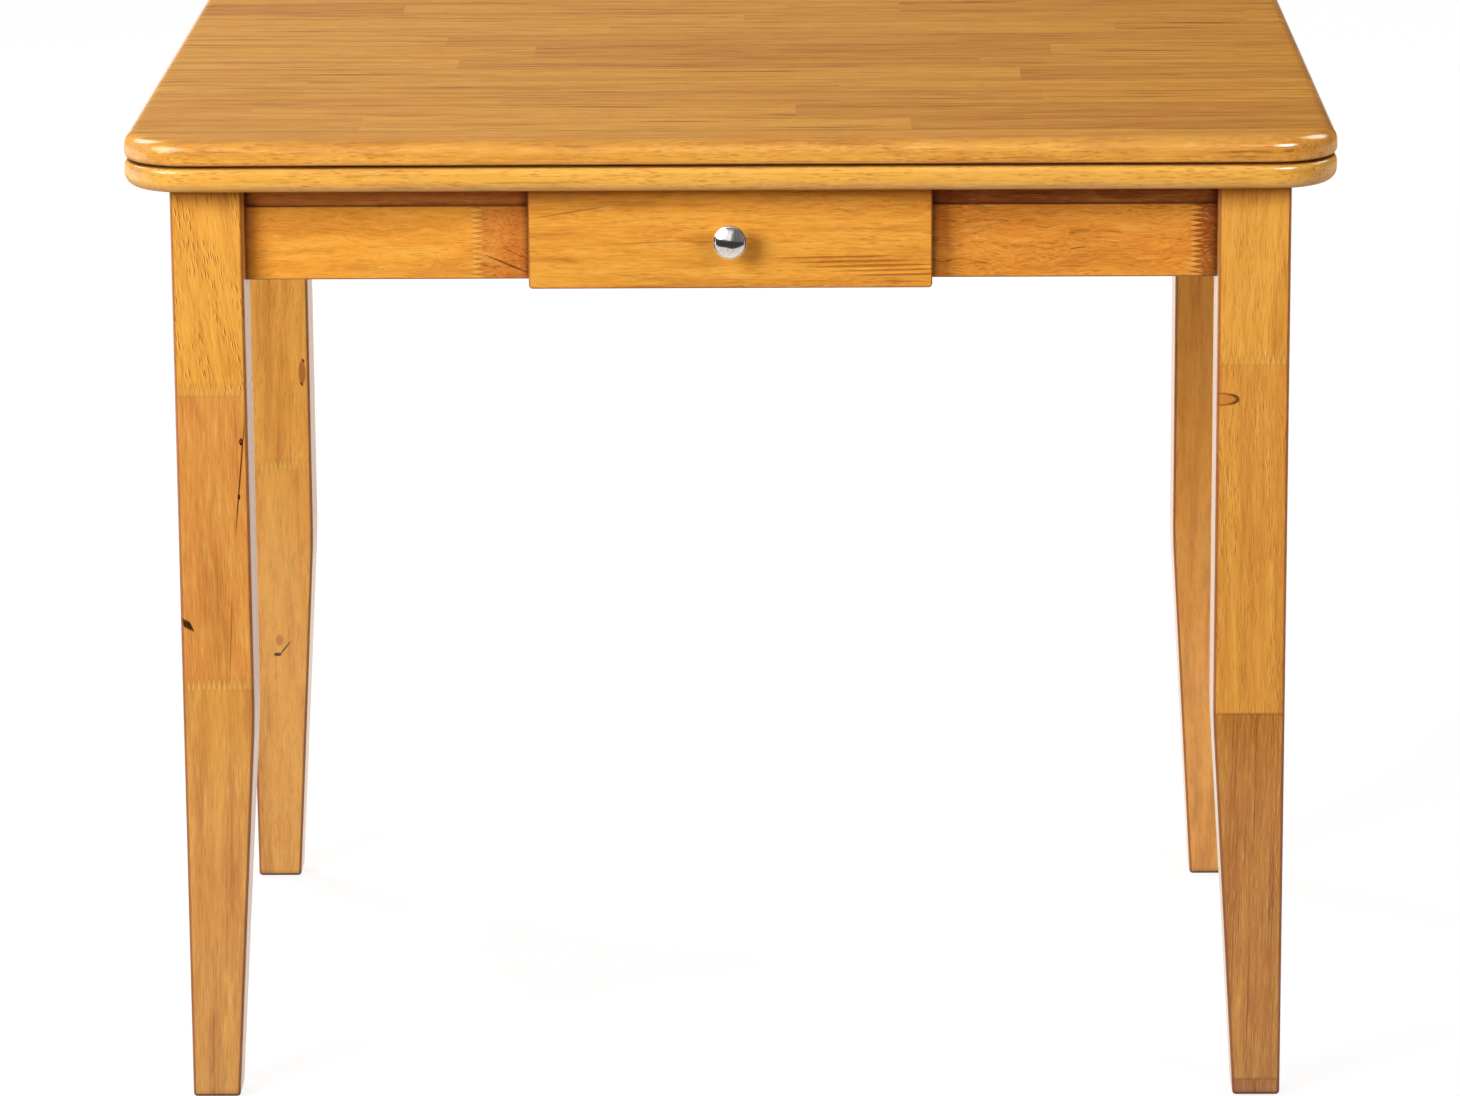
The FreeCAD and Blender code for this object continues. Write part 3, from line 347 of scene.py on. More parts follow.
# %% Make the paper
PAPER_TONE, PAPER_MOTTLE = 0.14, 0.01
PAPER_FIBRE_MM = 2.5           # coarser than real fibre, which would not show
GLOW_REACH = (1.0, 6.0)        # from near the table to far away
EYE_GLOW = (0.89, 0.98)
MIRROR_GLOW = (0.95, 1.0)
MIRROR_GLOW_FRONT = 0.60
FRONT_REACH = (-1.0, -0.3)
BOARD_REACH = (-1.6, -2.6)
BOARD_GLOW = 1.8
WARM = (1.0, 0.93, 0.86, 1.0)  # the tone in which gloss mirrors the paper

material, tree = new_material("matt_white_paper")
place = add(tree, "TexCoord").outputs["Object"]
distance = add(tree, "VectorMath", place, operation="LENGTH").outputs["Value"]
eye_glow = add(tree, "MapRange", distance, *GLOW_REACH, *EYE_GLOW)
mirror_glow = add(tree, "MapRange", distance, *GLOW_REACH, *MIRROR_GLOW)
east, north, _ = add(tree, "SeparateXYZ", place).outputs
in_front = add(tree, "MapRange", north, *FRONT_REACH, 1.0, 0.0)
mirror_glow = add(tree, "Mix", in_front, mirror_glow, MIRROR_GLOW_FRONT, data_type="FLOAT")
board = add(tree, "MapRange", east, *BOARD_REACH, 0.0, BOARD_GLOW)
mirror_glow = add(tree, "Math", mirror_glow, board, operation="ADD")

rays = add(tree, "LightPath").outputs
eye = add(tree, "Math", rays["Is Camera Ray"], rays["Is Transmission Ray"], operation="MAXIMUM")
mirror_glow = add(tree, "Math", mirror_glow, rays["Is Glossy Ray"], operation="MULTIPLY")
glow = add(tree, "Math", eye, eye_glow, mirror_glow, operation="MULTIPLY_ADD")
glow_tone = add(tree, "Mix", eye, WARM, WHITE, data_type="RGBA").outputs["Result"]
fibre = add(tree, "TexNoise", place, Scale=MM_PER_M / PAPER_FIBRE_MM)
tint = add(tree, "MapRange", fibre, 0.0, 1.0, PAPER_TONE - PAPER_MOTTLE, PAPER_TONE + PAPER_MOTTLE)
matt = add(tree, "BsdfDiffuse", add(tree, "CombineColor", tint, tint, tint))
add(tree, "OutputMaterial", add(tree, "AddShader", matt, add(tree, "Emission", glow_tone, glow)))
paper_mesh.materials.append(material)
print("made", material.name)

# %% [markdown]
# ## Rubberwood: its lengths
# Rubberwood comes in short lengths, which are milled with interlocking fingers and glued end to
# end. Each length has its own tone and its own grain. An image could show that, but it would
# stretch on the tapered legs. Here the pattern is worked out in millimetres from the place in
# the solid instead, so it runs through a leg as real grain does and turns the corner with it.
# The glue line is a zigzag, and a place has passed it or not, which numbers the lengths.

# %% Number the lengths of a finger-jointed piece
FINGER_LENGTH = 10.5
FINGER_PITCH = 3.9
GLUE_HALF = 0.55
TOOTH_EDGE = 1.0
AXES = ("X", "Y", "Z")


def place_in_mm(tree):
    """Place in the solid, in millimetres, as three sockets."""
    metres = add(tree, "TexCoord").outputs["Object"]
    scaled = add(tree, "VectorMath", metres, operation="SCALE", Scale=MM_PER_M)
    return add(tree, "SeparateXYZ", scaled).outputs


def number_lengths(tree, mm, axis, joints):
    """The number of the length at a place, the thin zigzag of glue at each joint, and its teeth."""
    number, seam, teeth = 0.0, 0.0, 0.0
    for at, fingers_across in joints:
        wave = add(tree, "Math", mm[AXES.index(fingers_across)], FINGER_PITCH / 2, operation="PINGPONG")
        slope = FINGER_LENGTH / (FINGER_PITCH / 2)
        reach = add(tree, "Math", wave, slope, at, operation="MULTIPLY_ADD")
        past = add(tree, "Math", mm[axis], reach, operation="SUBTRACT")
        side = add(tree, "Math", past, 0.0, operation="GREATER_THAN")
        off = add(tree, "Math", past, operation="ABSOLUTE")
        glue = add(tree, "MapRange", off, 0.0, GLUE_HALF * FINGER_LENGTH / FINGER_PITCH, 1.0, 0.0)
        zone = band(tree, mm[axis], at + TOOTH_EDGE, at + FINGER_LENGTH, TOOTH_EDGE)
        below = add(tree, "Math", 1.0, side, operation="SUBTRACT")
        tooth = add(tree, "Math", zone, below, operation="MULTIPLY")
        number = add(tree, "Math", number, side, operation="ADD")
        seam = add(tree, "Math", seam, glue, operation="MAXIMUM")
        teeth = add(tree, "Math", teeth, tooth, operation="MAXIMUM")
    return number, seam, teeth


print("a finger is", FINGER_LENGTH, "mm long, one every", FINGER_PITCH, "mm")

# %% [markdown]
# ## Rubberwood: a table for the lengths
# A colour ramp with hard steps serves as a table: the number of the length looks up its tone. A
# second ramp gives its lean, pores and lines as red, green and blue.

# %% Look up a colour for each length
def by_length(tree, number, colours):
    """The colour of each length, in order from the low end."""
    colours = colours * 2 if len(colours) == 1 else colours
    count = len(colours)
    middle = add(tree, "Math", number, 0.5, operation="ADD")
    ramp = add(tree, "ValToRGB", add(tree, "Math", middle, count, operation="DIVIDE"))
    ramp.color_ramp.interpolation = "CONSTANT"
    for i in range(2, count):
        ramp.color_ramp.elements.new(i / count)
    for i, colour in enumerate(colours):
        ramp.color_ramp.elements[i].position = i / count
        ramp.color_ramp.elements[i].color = colour
    return ramp.outputs["Color"]


print("a ramp with hard steps holds up to 32 lengths")

# %% [markdown]
# ## Rubberwood: what the grain looks like
# Its figure is plain: slow changes of tone, thin growth lines, and open pores that show as short
# dark strokes about 7 mm long. Tone and lines are noise drawn out along the grain. The pores are
# long thin cells of a Voronoi pattern, each with one stroke in its middle. They are drawn 0.7 mm
# wide, about three times their real width, because true width would not show from this far away.

# %% Draw the parts of the grain
PORE_MM = (7.0, 0.70)
PORE_ROOM = 1.6          # a cell is this much longer and wider than its stroke
PORE_CELL_DEPTH = 0.6    # so that a pore runs deeper into the wood than it is wide
STROKE_EDGE = (0.24, 0.40)
FAINTEST_STROKE = 0.25


def drawn_out(tree, place, size, detail=2.0, roughness=0.55):
    """Noise with features of a length along the grain and a width across it."""
    length, width = size
    scaled = add(tree, "VectorMath", place, (1 / length, 1 / width, 1 / width), operation="MULTIPLY")
    return add(tree, "TexNoise", scaled, Scale=1.0, Detail=detail, Roughness=roughness)


def pore_strokes(tree, place, size):
    """Short strokes, one to a cell, of random strength: up to 1 inside a stroke."""
    length, width = [side * PORE_ROOM for side in size]
    scale = (1 / length, 1 / width, PORE_CELL_DEPTH / width)
    scaled = add(tree, "VectorMath", place, scale, operation="MULTIPLY")
    cell = add(tree, "TexVoronoi", scaled, Scale=1.0)
    stroke = add(tree, "MapRange", cell.outputs["Distance"], *STROKE_EDGE, 1.0, 0.0)
    chance = add(tree, "MapRange", add(tree, "SeparateColor", cell.outputs["Color"]), 0.0, 1.0,
                 FAINTEST_STROKE, 1.0)
    return add(tree, "Math", stroke, chance, operation="MULTIPLY")


print("pores are", PORE_MM[0], "mm long and drawn", PORE_MM[1], "mm wide")

# %% [markdown]
# ## Laying colours over one another
# Wood gets its colour in layers: a ground tone, then lines, fibres, pores and stains over it. Each
# layer is one colour and a pattern that says where it lies and how thickly.

# %% Blend a layer in
def blend_in(tree, colour, hex_colour, amount, *factors):
    """Mix a colour towards another by the product of some amounts."""
    for factor in factors:
        amount = add(tree, "Math", amount, factor, operation="MULTIPLY")
    return add(tree, "Mix", amount, colour, linear(hex_colour), data_type="RGBA").outputs["Result"]


def blend_where(tree, colour, hex_colour, pattern, limits, most, *factors):
    """Mix a colour towards another as a pattern goes from one limit to the next."""
    amount = add(tree, "MapRange", pattern, *limits, 0.0, most, interpolation_type="SMOOTHSTEP")
    return blend_in(tree, colour, hex_colour, amount, *factors)


print("layers are laid by", blend_in.__name__, "and", blend_where.__name__)

# %% [markdown]
# ## The colour of rubberwood
# Broad layers change the tone slowly, and fine ones are its fibres. Growth lines are strong in
# some patches and nearly gone in others, because a saw meets the rings at a changing angle. A
# painted highlight beside each pore makes it look sunk.

# %% Choose the layers of the grain
BROWN = "#713A12"
RED_BROWN = "#A04A12"
HONEY = "#F6BC52"
PALE = "#FFD26E"
PORE_TONE = "#9C4206"
FIGURE_MM = (190.0, 11.0)
SHEEN_MM = (42.0, 7.0)
FIBRE_MM = (20.0, 1.1)
# a pattern, the colour it brings, the limits between which that comes in, and the most of it
BROAD_LAYERS = [("figure", RED_BROWN, (0.44, 0.74), 0.30), ("figure", HONEY, (0.52, 0.28), 0.25),
                ("sheen", PALE, (0.50, 0.78), 0.22), ("sheen", RED_BROWN, (0.48, 0.22), 0.18)]
FINE_LAYERS = [("fibre", BROWN, (0.50, 0.80), 0.36), ("fibre", PALE, (0.50, 0.20), 0.30)]
# growth lines: their size in millimetres, their limits, and the most of them
GROWTH_LINES = ((150.0, 1.8), (0.52, 0.74), 0.60)
PATCH_FIGURE, PATCH_LINES = (0.38, 0.62), (0.25, 1.25)
PORE_CLUSTER_MM = (60.0, 16.0)
PORE_CLUSTER = (0.30, 0.60)
# painted highlight beside each pore: how far it lies from the pore, and how strong it is
PORE_HIGHLIGHT_MM = 0.9
PORE_HIGHLIGHT_AMOUNT, PORE_AMOUNT, TOOTH_AMOUNT, GLUE_AMOUNT = 0.55, 0.85, 0.22, 0.42
print("the wood has", len(BROAD_LAYERS), "broad layers and", len(FINE_LAYERS), "fine ones")

# %% [markdown]
# ## Laying the layers
# The order is from broad to fine. The pores and the glue go on after the grain, because they are
# holes and lines in it. Pores stand close together in clusters, and are faint between.

# %% Colour the grain
def pores_and_painted_highlights(tree, place):
    """Pores where they stand close together, and a painted highlight beside each."""
    cluster = drawn_out(tree, place, PORE_CLUSTER_MM, detail=1.0)
    dense = add(tree, "MapRange", cluster, *PORE_CLUSTER, 0.0, 1.0, interpolation_type="SMOOTHSTEP")
    pore = add(tree, "Math", pore_strokes(tree, place, PORE_MM), dense, operation="MULTIPLY")
    beside = add(tree, "VectorMath", place, (0.0, PORE_HIGHLIGHT_MM, 0.0), operation="ADD")
    pore_highlight = add(tree, "Math", pore_strokes(tree, beside, PORE_MM), dense, operation="MULTIPLY")
    return pore, pore_highlight


def wood_colour(tree, place, tone, amounts, seam, teeth, growth):
    """The colour of the wood, and its pores and fibres, which also give relief."""
    pores, lines = amounts
    patterns = {
        "figure": drawn_out(tree, place, FIGURE_MM, detail=3.0),
        "sheen": drawn_out(tree, place, SHEEN_MM),
        "fibre": drawn_out(tree, place, FIBRE_MM, roughness=0.7),
    }
    pore, pore_highlight = pores_and_painted_highlights(tree, place)
    colour = tone
    for pattern, shade, limits, most in BROAD_LAYERS:
        colour = blend_where(tree, colour, shade, patterns[pattern], limits, most)
    line_mm, line_limits, most_line = growth
    line = drawn_out(tree, place, line_mm, roughness=0.6)
    patchy = add(tree, "MapRange", patterns["figure"], *PATCH_FIGURE, *PATCH_LINES)
    colour = blend_where(tree, colour, BROWN, line, line_limits, most_line, lines, patchy)
    for pattern, shade, limits, most in FINE_LAYERS:
        colour = blend_where(tree, colour, shade, patterns[pattern], limits, most)
    # a painted highlight beside each pore, which makes the pore look sunk
    colour = blend_in(tree, colour, PALE, pore_highlight, pores, PORE_HIGHLIGHT_AMOUNT)
    colour = blend_in(tree, colour, PORE_TONE, pore, pores, PORE_AMOUNT)
    colour = blend_in(tree, colour, PALE, teeth, TOOTH_AMOUNT)
    colour = blend_in(tree, colour, BROWN, seam, GLUE_AMOUNT)
    return colour, pore, patterns["fibre"]


print("then come the growth lines, the pores with their lips, the finger tips and the glue")

# %% [markdown]
# ## Knots and cracks
# A knot is a stretched ball of dark wood that goes a little way in from the face, and a crack is
# the same ball made long and thin. A lean tilts it against the grain. They could be painted on,
# but a ball in the solid shows on both faces of an edge, as a real knot does.

# %% Place a knot or a crack
MARK_EDGE = (1.15, 0.80)


def mark_at(tree, mm, axis, at, half, lean):
    """How far a place is from the middle of a stretched ball, where 1 is its skin."""
    off = [add(tree, "Math", mm[i], at[i], operation="SUBTRACT") for i in range(3)]
    across = 0 if axis != 0 else 2
    off[across] = add(tree, "Math", off[axis], -lean, off[across], operation="MULTIPLY_ADD")
    parts = [add(tree, "Math", off[i], half[i], operation="DIVIDE") for i in range(3)]
    return add(tree, "VectorMath", add(tree, "CombineXYZ", *parts), operation="LENGTH").outputs["Value"]


print("a mark fades from", MARK_EDGE[1], "to", MARK_EDGE[0], "of its half size")

# %% [markdown]
# ## Stained arrises and painted shade in nooks
# Where a machine has rounded an edge, stain collects and the arris is a little redder. Its normal
# points along two axes at once, so the product of the two finds it. Nooks get painted shade, a
# dark brown laid into the colour, which an ambient occlusion node finds: it tells how much of the
# sky a place sees.

# %% Stain the arrises and paint shade in the nooks
ARRIS_BROWN = "#8A3C10"
ARRIS_TINT = 0.75
ARRIS_LIMITS = (0.10, 0.50)
# painted shade in nooks: its colour, its most, the open sky at which it begins and is full, its reach
NOOK_SHADE_BROWN = "#3E1208"
NOOK_SHADE_AMOUNT = 0.85
NOOK_SHADE_SKY = (0.88, 0.45)
NOOK_SHADE_REACH = 0.011
NOOK_SHADE_SAMPLES = 8


def stain_arrises_and_paint_nook_shade(tree, colour, arris_tint, shade_reach):
    """Stain the rounded arrises, and paint shade on whatever is close to another surface."""
    if arris_tint:
        normal = add(tree, "SeparateXYZ", add(tree, "TexCoord").outputs["Normal"]).outputs
        upright = add(tree, "Math", normal[0], normal[1], operation="MULTIPLY")
        level = add(tree, "Math", normal[1], normal[2], operation="MULTIPLY")
        arris = add(tree, "Math", add(tree, "Math", upright, operation="ABSOLUTE"),
                    add(tree, "Math", level, operation="ABSOLUTE"), operation="MAXIMUM")
        colour = blend_where(tree, colour, ARRIS_BROWN, arris, ARRIS_LIMITS, arris_tint)
    # painted shade: dark brown where little of the sky is open within the reach
    open_sky = add(tree, "AmbientOcclusion", Distance=shade_reach, samples=NOOK_SHADE_SAMPLES).outputs["AO"]
    return blend_where(tree, colour, NOOK_SHADE_BROWN, open_sky, NOOK_SHADE_SKY, NOOK_SHADE_AMOUNT)


print("a nook reaches", round(MM_PER_M * NOOK_SHADE_REACH), "mm")

# %% [markdown]
# ## Gloss lacquer over rubberwood
# The lacquer is a clear coat that mirrors the room, and the wood below it has no shine of its own.
# A film that has been rubbed down mirrors less at a glancing angle than glass does, so the coat
# thins out there, and comes back only where a face is seen edge on. The film is level over the
# pores, so only the wood under it has their relief. The wood keeps its own roughness for a viewer
# that shows no coat.

# %% Coat the wood with lacquer
LACQUER_ROUGHNESS = 0.14
WOOD_ROUGHNESS, WOOD_ROUGHNESS_SWING = 0.55, 0.06
PATTERN_SWING = (0.3, 0.7)    # most of a noise pattern lies between these
PORE_DEPTH = 0.0003
SANDED_RELIEF = 0.35          # share of the relief that sanding leaves
GLANCING = (0.45, 0.78)
GLANCING_COAT = 0.32
EDGE_ON = (0.84, 0.95)


def lacquered_wood(tree, place, tone, amounts, seam, teeth=0.0, marks=(), growth=GROWTH_LINES,
                   arris_tint=ARRIS_TINT, shade_reach=NOOK_SHADE_REACH):
    """The grain of rubberwood in a tone, under gloss lacquer; amounts are of pores and of lines."""
    colour, pore, fibre = wood_colour(tree, place, tone, amounts, seam, teeth, growth)
    for from_middle, shade, strength in marks:
        colour = blend_where(tree, colour, shade, from_middle, MARK_EDGE, strength)
    # stain the arrises and paint shade into the nooks
    colour = stain_arrises_and_paint_nook_shade(tree, colour, arris_tint, shade_reach)

    facing = add(tree, "LayerWeight").outputs["Facing"]
    thinned = add(tree, "MapRange", facing, *GLANCING, 1.0, GLANCING_COAT)
    edge_on = add(tree, "MapRange", facing, *EDGE_ON, 0.0, 1.0)
    coat = add(tree, "Math", thinned, edge_on, operation="MAXIMUM")
    relief = add(tree, "Math", pore, -1.0, fibre, operation="MULTIPLY_ADD")
    bump = add(tree, "Bump", Strength=SANDED_RELIEF, Distance=PORE_DEPTH, Height=relief)
    rough = add(tree, "MapRange", fibre, *PATTERN_SWING, WOOD_ROUGHNESS - WOOD_ROUGHNESS_SWING,
                WOOD_ROUGHNESS + WOOD_ROUGHNESS_SWING)
    surface = add(tree, "BsdfPrincipled", colour, Roughness=rough, Normal=bump,
                  Specular_IOR_Level=0.0, Coat_Weight=coat, Coat_Roughness=LACQUER_ROUGHNESS)
    add(tree, "OutputMaterial", surface)


print("the lacquer's roughness is", LACQUER_ROUGHNESS)

# %% [markdown]
# ## Grain of its own for each piece
# Each piece gets its own shift in the pattern from a seed, and each of its lengths another from
# its number, so no two match. Curl makes the grain wander, as it does near a branch.

# %% Shift and curl the grain
SEED_STEP_MM = (171.0, 29.0, 53.0)
LENGTH_STEP_MM = (313.0, 47.0, 91.0)
CURL_MM = (30.0, 16.0)
NOISE_MIDDLE = (0.5, 0.5, 0.5)


def shifted(tree, place, seed):
    """A place moved by a seed, so that no two pieces share their grain."""
    return add(tree, "VectorMath", place, tuple(seed * step for step in SEED_STEP_MM), operation="ADD")


def curled(tree, place, curl):
    """A place moved across the grain by at most half a curl, which is in millimetres."""
    wander = drawn_out(tree, place, CURL_MM, detail=1.0)
    wander = add(tree, "VectorMath", wander.outputs["Color"], NOISE_MIDDLE, operation="SUBTRACT")
    wander = add(tree, "VectorMath", wander, (0.0, curl, curl), operation="MULTIPLY")
    return add(tree, "VectorMath", place, wander, operation="ADD")


print("the grain of a piece is shifted by", SEED_STEP_MM, "mm times its seed")

# %% [markdown]
# ## A finger-jointed piece
# Now the parts come together: the lengths are numbered, the tables give each its tone and its
# lean, the lean turns its grain, and the lacquered wood is made from that.

# %% Make a finger-jointed finish
def finger_jointed(name, axis, joints, lengths, marks=(), seed=0, curl=0.0):
    """Finger-jointed rubberwood; each length has a tone, a lean, and amounts of pores and lines."""
    material, tree = new_material(name)
    mm = place_in_mm(tree)
    axis = AXES.index(axis)
    first, second = [i for i in range(3) if i != axis]
    number, seam, teeth = number_lengths(tree, mm, axis, joints)
    tone = by_length(tree, number, [linear(tone) for tone, lean, pores, lines in lengths])
    # a ramp holds 0 to 1, so a lean is stored from the middle and the amounts by half
    packed = [(0.5 + lean, pores / 2, lines / 2, 1) for tone, lean, pores, lines in lengths]
    lean, pores, lines = add(tree, "SeparateColor", by_length(tree, number, packed)).outputs
    amounts = [add(tree, "Math", amount, 2.0, operation="MULTIPLY") for amount in (pores, lines)]
    slope = add(tree, "Math", lean, 0.5, operation="SUBTRACT")
    slide = add(tree, "Math", mm[axis], slope, operation="MULTIPLY")
    across = add(tree, "Math", mm[first], slide, operation="SUBTRACT")
    place = add(tree, "CombineXYZ", mm[axis], across, mm[second])
    own = add(tree, "VectorMath", LENGTH_STEP_MM, operation="SCALE", Scale=number)
    place = shifted(tree, add(tree, "VectorMath", place, own, operation="ADD"), seed)
    if curl:
        place = curled(tree, place, curl)
    spots = [(mark_at(tree, mm, axis, at, half, lean), shade, strength)
             for at, half, lean, shade, strength in marks]
    lacquered_wood(tree, place, tone, amounts, seam, teeth, spots)
    return material


print("a length is written as its tone, its lean, and its pores and lines")

# %% [markdown]
# ## Putting a finish on
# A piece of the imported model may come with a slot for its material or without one, so one
# function serves both.

# %% Put a finish on a piece
def wear(node, material):
    """Give every slot of a node's object a material."""
    mesh_object = nodes[node]
    if not mesh_object.material_slots:
        mesh_object.data.materials.append(material)
    for slot in mesh_object.material_slots:
        slot.material = material


print("pieces that come with a slot:", sum(bool(node.material_slots) for node in nodes.values()))

# %% [markdown]
# ## The marks on the legs
# The front left leg has two small knots on a crack and a hatch of short dark cuts. The front
# right one has a knot seen from its side, with a dark ring around clear wood. The rear left one
# has knots with bark around them.

# %% Place the marks on the legs
FRONT_Y = MM_PER_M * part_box("leg_front_left")[0].y
REAR_FACE_Y = MM_PER_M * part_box("leg_rear_left")[0].y
KNOT = "#34150A"
KNOT_HEART = "#8A5A2A"
CLEAR_WOOD = "#D98C3E"
CRACK = "#5E2C10"
BARK = "#AE5F30"
RING = "#7A3E16"

# each mark: its middle and its half size in millimetres, its lean, its colour and its strength
front_left_marks = [
    ((-367.1, FRONT_Y, 516.3), (1.4, 9.0, 2.9), 0.0, KNOT, 1.0),
    ((-367.2, FRONT_Y, 516.6), (0.5, 9.0, 1.2), 0.0, KNOT_HEART, 0.8),
    ((-369.7, FRONT_Y, 474.1), (1.15, 8.0, 2.4), 0.0, KNOT, 1.0),
    ((-368.4, FRONT_Y, 490.0), (0.60, 9.0, 44.0), 0.1, CRACK, 0.95),
    ((-378.4, FRONT_Y, 363.0), (0.42, 6.0, 34.0), 0.05, CRACK, 0.5),
]
CUTS = 4
CUT_START, CUT_STEP = (-414.0, 377.0), (1.9, -1.0)
for i in range(CUTS):
    cut_place = (CUT_START[0] + CUT_STEP[0] * i, FRONT_Y, CUT_START[1] + CUT_STEP[1] * i)
    front_left_marks.append((cut_place, (0.95, 9.0, 4.6), -0.42, KNOT, 0.95))
front_right_marks = [
    ((366.0, FRONT_Y, 546.4), (12.6, 9.0, 4.9), 0.0, RING, 0.9),
    ((372.5, FRONT_Y, 546.4), (6.4, 9.0, 4.0), 0.0, KNOT, 0.85),
    ((363.6, FRONT_Y, 546.4), (13.0, 9.0, 4.1), 0.0, CLEAR_WOOD, 0.97),
]
rear_left_marks = [
    ((-368.1, REAR_FACE_Y, 446.0), (3.0, 8.0, 10.0), 0.0, BARK, 0.8),
    ((-367.0, REAR_FACE_Y, 456.0), (1.0, 8.0, 1.8), -0.4, KNOT, 0.9),
    ((-368.6, REAR_FACE_Y, 436.0), (1.0, 8.0, 1.8), -0.4, KNOT, 0.9),
    ((-394.6, REAR_FACE_Y, 200.5), (3.4, 25.0, 1.6), 0.0, KNOT, 0.95),
    ((-388.2, REAR_FACE_Y, 206.0), (0.9, 25.0, 6.5), 0.8, KNOT, 0.9),
    ((-392.6, REAR_FACE_Y, 213.0), (3.2, 25.0, 5.0), 0.0, BARK, 0.55),
]
print("front face of the front legs at y =", round(FRONT_Y, 1), "mm")

# %% [markdown]
# ## The legs
# Each leg is glued up from up to four lengths. The front left one has many slanting pores at its
# top, then a redder length. The front right one ends in browner, striped lengths. A joint is
# written as its height and the axis along which its fingers stand side by side. A length is
# written as its tone, the lean of its grain, and how much it has of pores and of lines, and the
# lengths go from the foot up.

# %% Finish the legs
front_left_lengths = [("#D69648", 0.02, 0.2, 0.6), ("#DC9448", -0.02, 0.25, 0.25),
                      ("#E8A443", -0.13, 1.3, 0.1)]
front_right_lengths = [("#AE6E36", 0.0, 0.4, 0.9), ("#BF7E38", 0.02, 0.5, 1.0),
                       ("#E29B42", -0.02, 0.75, 0.3), ("#ECA846", 0.03, 0.6, 0.4)]
rear_left_lengths = [("#F0AA50", 0.0, 0.3, 0.3), ("#F6AE50", 0.02, 0.4, 0.4)]
rear_right_lengths = [("#FFB052", 0.0, 0.15, 0.15)]
front_right_joints = [(14.0, "Y"), (303.0, "Y"), (572.0, "X")]
LEGS = {
    "leg_front_left": ([(324.0, "X"), (551.0, "X")], front_left_lengths, front_left_marks),
    "leg_front_right": (front_right_joints, front_right_lengths, front_right_marks),
    "leg_rear_left": ([(362.0, "X")], rear_left_lengths, rear_left_marks),
    "leg_rear_right": ([], rear_right_lengths, []),
}
for seed, (node, (joints, lengths, marks)) in enumerate(LEGS.items(), 1):
    wear(node, finger_jointed("rubberwood_" + node, "Z", joints, lengths, marks, seed))
    print(node, "lengths:", len(lengths), "marks:", len(marks))

# %% [markdown]
# ## The front apron and the drawer front
# The front apron's grain is curly and runs across the table. It is jointed near the drawer, near
# the right leg, and once behind the drawer. The drawer front is one length, with dark stripes low
# on its right and two fainter ones on its left.

# %% Finish the front
APRON_Y = MM_PER_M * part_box("apron_front")[0].y
STRIPE = "#96480E"
STRIPES = 5
STRIPE_START, STRIPE_STEP = (76.0, 655.5), (15.0, -3.3)
STRIPE_HALF_THICK = (0.7, 0.9, 1.1)

apron_joints = [(-193.0, "Z"), (0.0, "Y"), (342.0, "Z")]
apron_lengths = [("#EFA43C", 0.04, 0.15, 0.2), ("#DB8A38", 0.24, 0.6, 0.8),
                 ("#E59436", -0.06, 0.45, 1.0), ("#A65C26", 0.16, 0.9, 0.9)]
apron_marks = [((-167.0, APRON_Y, 647.5), (17.0, 9.0, 0.75), -0.42, CRACK, 0.8),
               ((-160.0, APRON_Y, 655.0), (11.0, 9.0, 0.5), -0.5, CRACK, 0.5)]
drawer_marks = []
for i in range(STRIPES):
    stripe_place = (STRIPE_START[0] + STRIPE_STEP[0] * i, FRONT_Y, STRIPE_START[1] + STRIPE_STEP[1] * i)
    stripe_half = (44.0, 9.0, STRIPE_HALF_THICK[i % 3])
    drawer_marks.append((stripe_place, stripe_half, 0.02, STRIPE, 0.62))
drawer_marks.append(((-118.0, FRONT_Y, 690.0), (28.0, 9.0, 0.6), 0.16, STRIPE, 0.5))
drawer_marks.append(((-60.0, FRONT_Y, 667.0), (40.0, 9.0, 0.5), 0.05, STRIPE, 0.4))
drawer_lengths = [("#EBA23C", 0.03, 0.35, 0.45)]
wear("apron_front", finger_jointed("rubberwood_apron_front", "X", apron_joints, apron_lengths,
                                   apron_marks, seed=5, curl=9.0))
wear("drawer_front", finger_jointed("rubberwood_drawer_front", "X", [], drawer_lengths,
                                    drawer_marks, seed=6, curl=3.0))
print("front apron has", len(apron_lengths), "lengths; drawer front has", len(drawer_marks), "stripes")

# %% [markdown]
# ## The other aprons and the rails with painted shade
# The aprons at the sides and back are plainer. The rails above the aprons sit further back, and
# their tones are darkened to paint the shade under the top, so they read as a shadow line there.

# %% Finish the other aprons and the top rails
SIDE_JOINT, SIDE_JOINT_STEP = 95.0, 30.0
side_lengths = [("#E6A144", 0.05, 0.4, 0.3), ("#DC9646", -0.1, 0.5, 0.5), ("#E3A24C", 0.04, 0.3, 0.3)]
# dark tones that paint the shade under the top; the length past the joint is darker still
shaded_rail_lengths = [("#DC8E46", 0.02, 0.4, 0.8), ("#AC6430", -0.03, 0.4, 0.9)]
for i, node in enumerate(("apron_rear", "apron_left", "apron_right")):
    run = "X" if node == "apron_rear" else "Y"
    joints = [(-120.0, "Z"), (SIDE_JOINT + SIDE_JOINT_STEP * i, "Z")]
    wear(node, finger_jointed("rubberwood_" + node, run, joints, side_lengths, seed=7 + i, curl=4.0))
for i, node in enumerate(("top_rail_front", "top_rail_rear", "top_rail_left", "top_rail_right")):
    run = "Y" if node.endswith(("left", "right")) else "X"
    joints = [(-60.0, "Z")]
    wear(node, finger_jointed("shade_painted_rubberwood_" + node, run, joints, shaded_rail_lengths, seed=11 + i))
print("other aprons and rails finished")

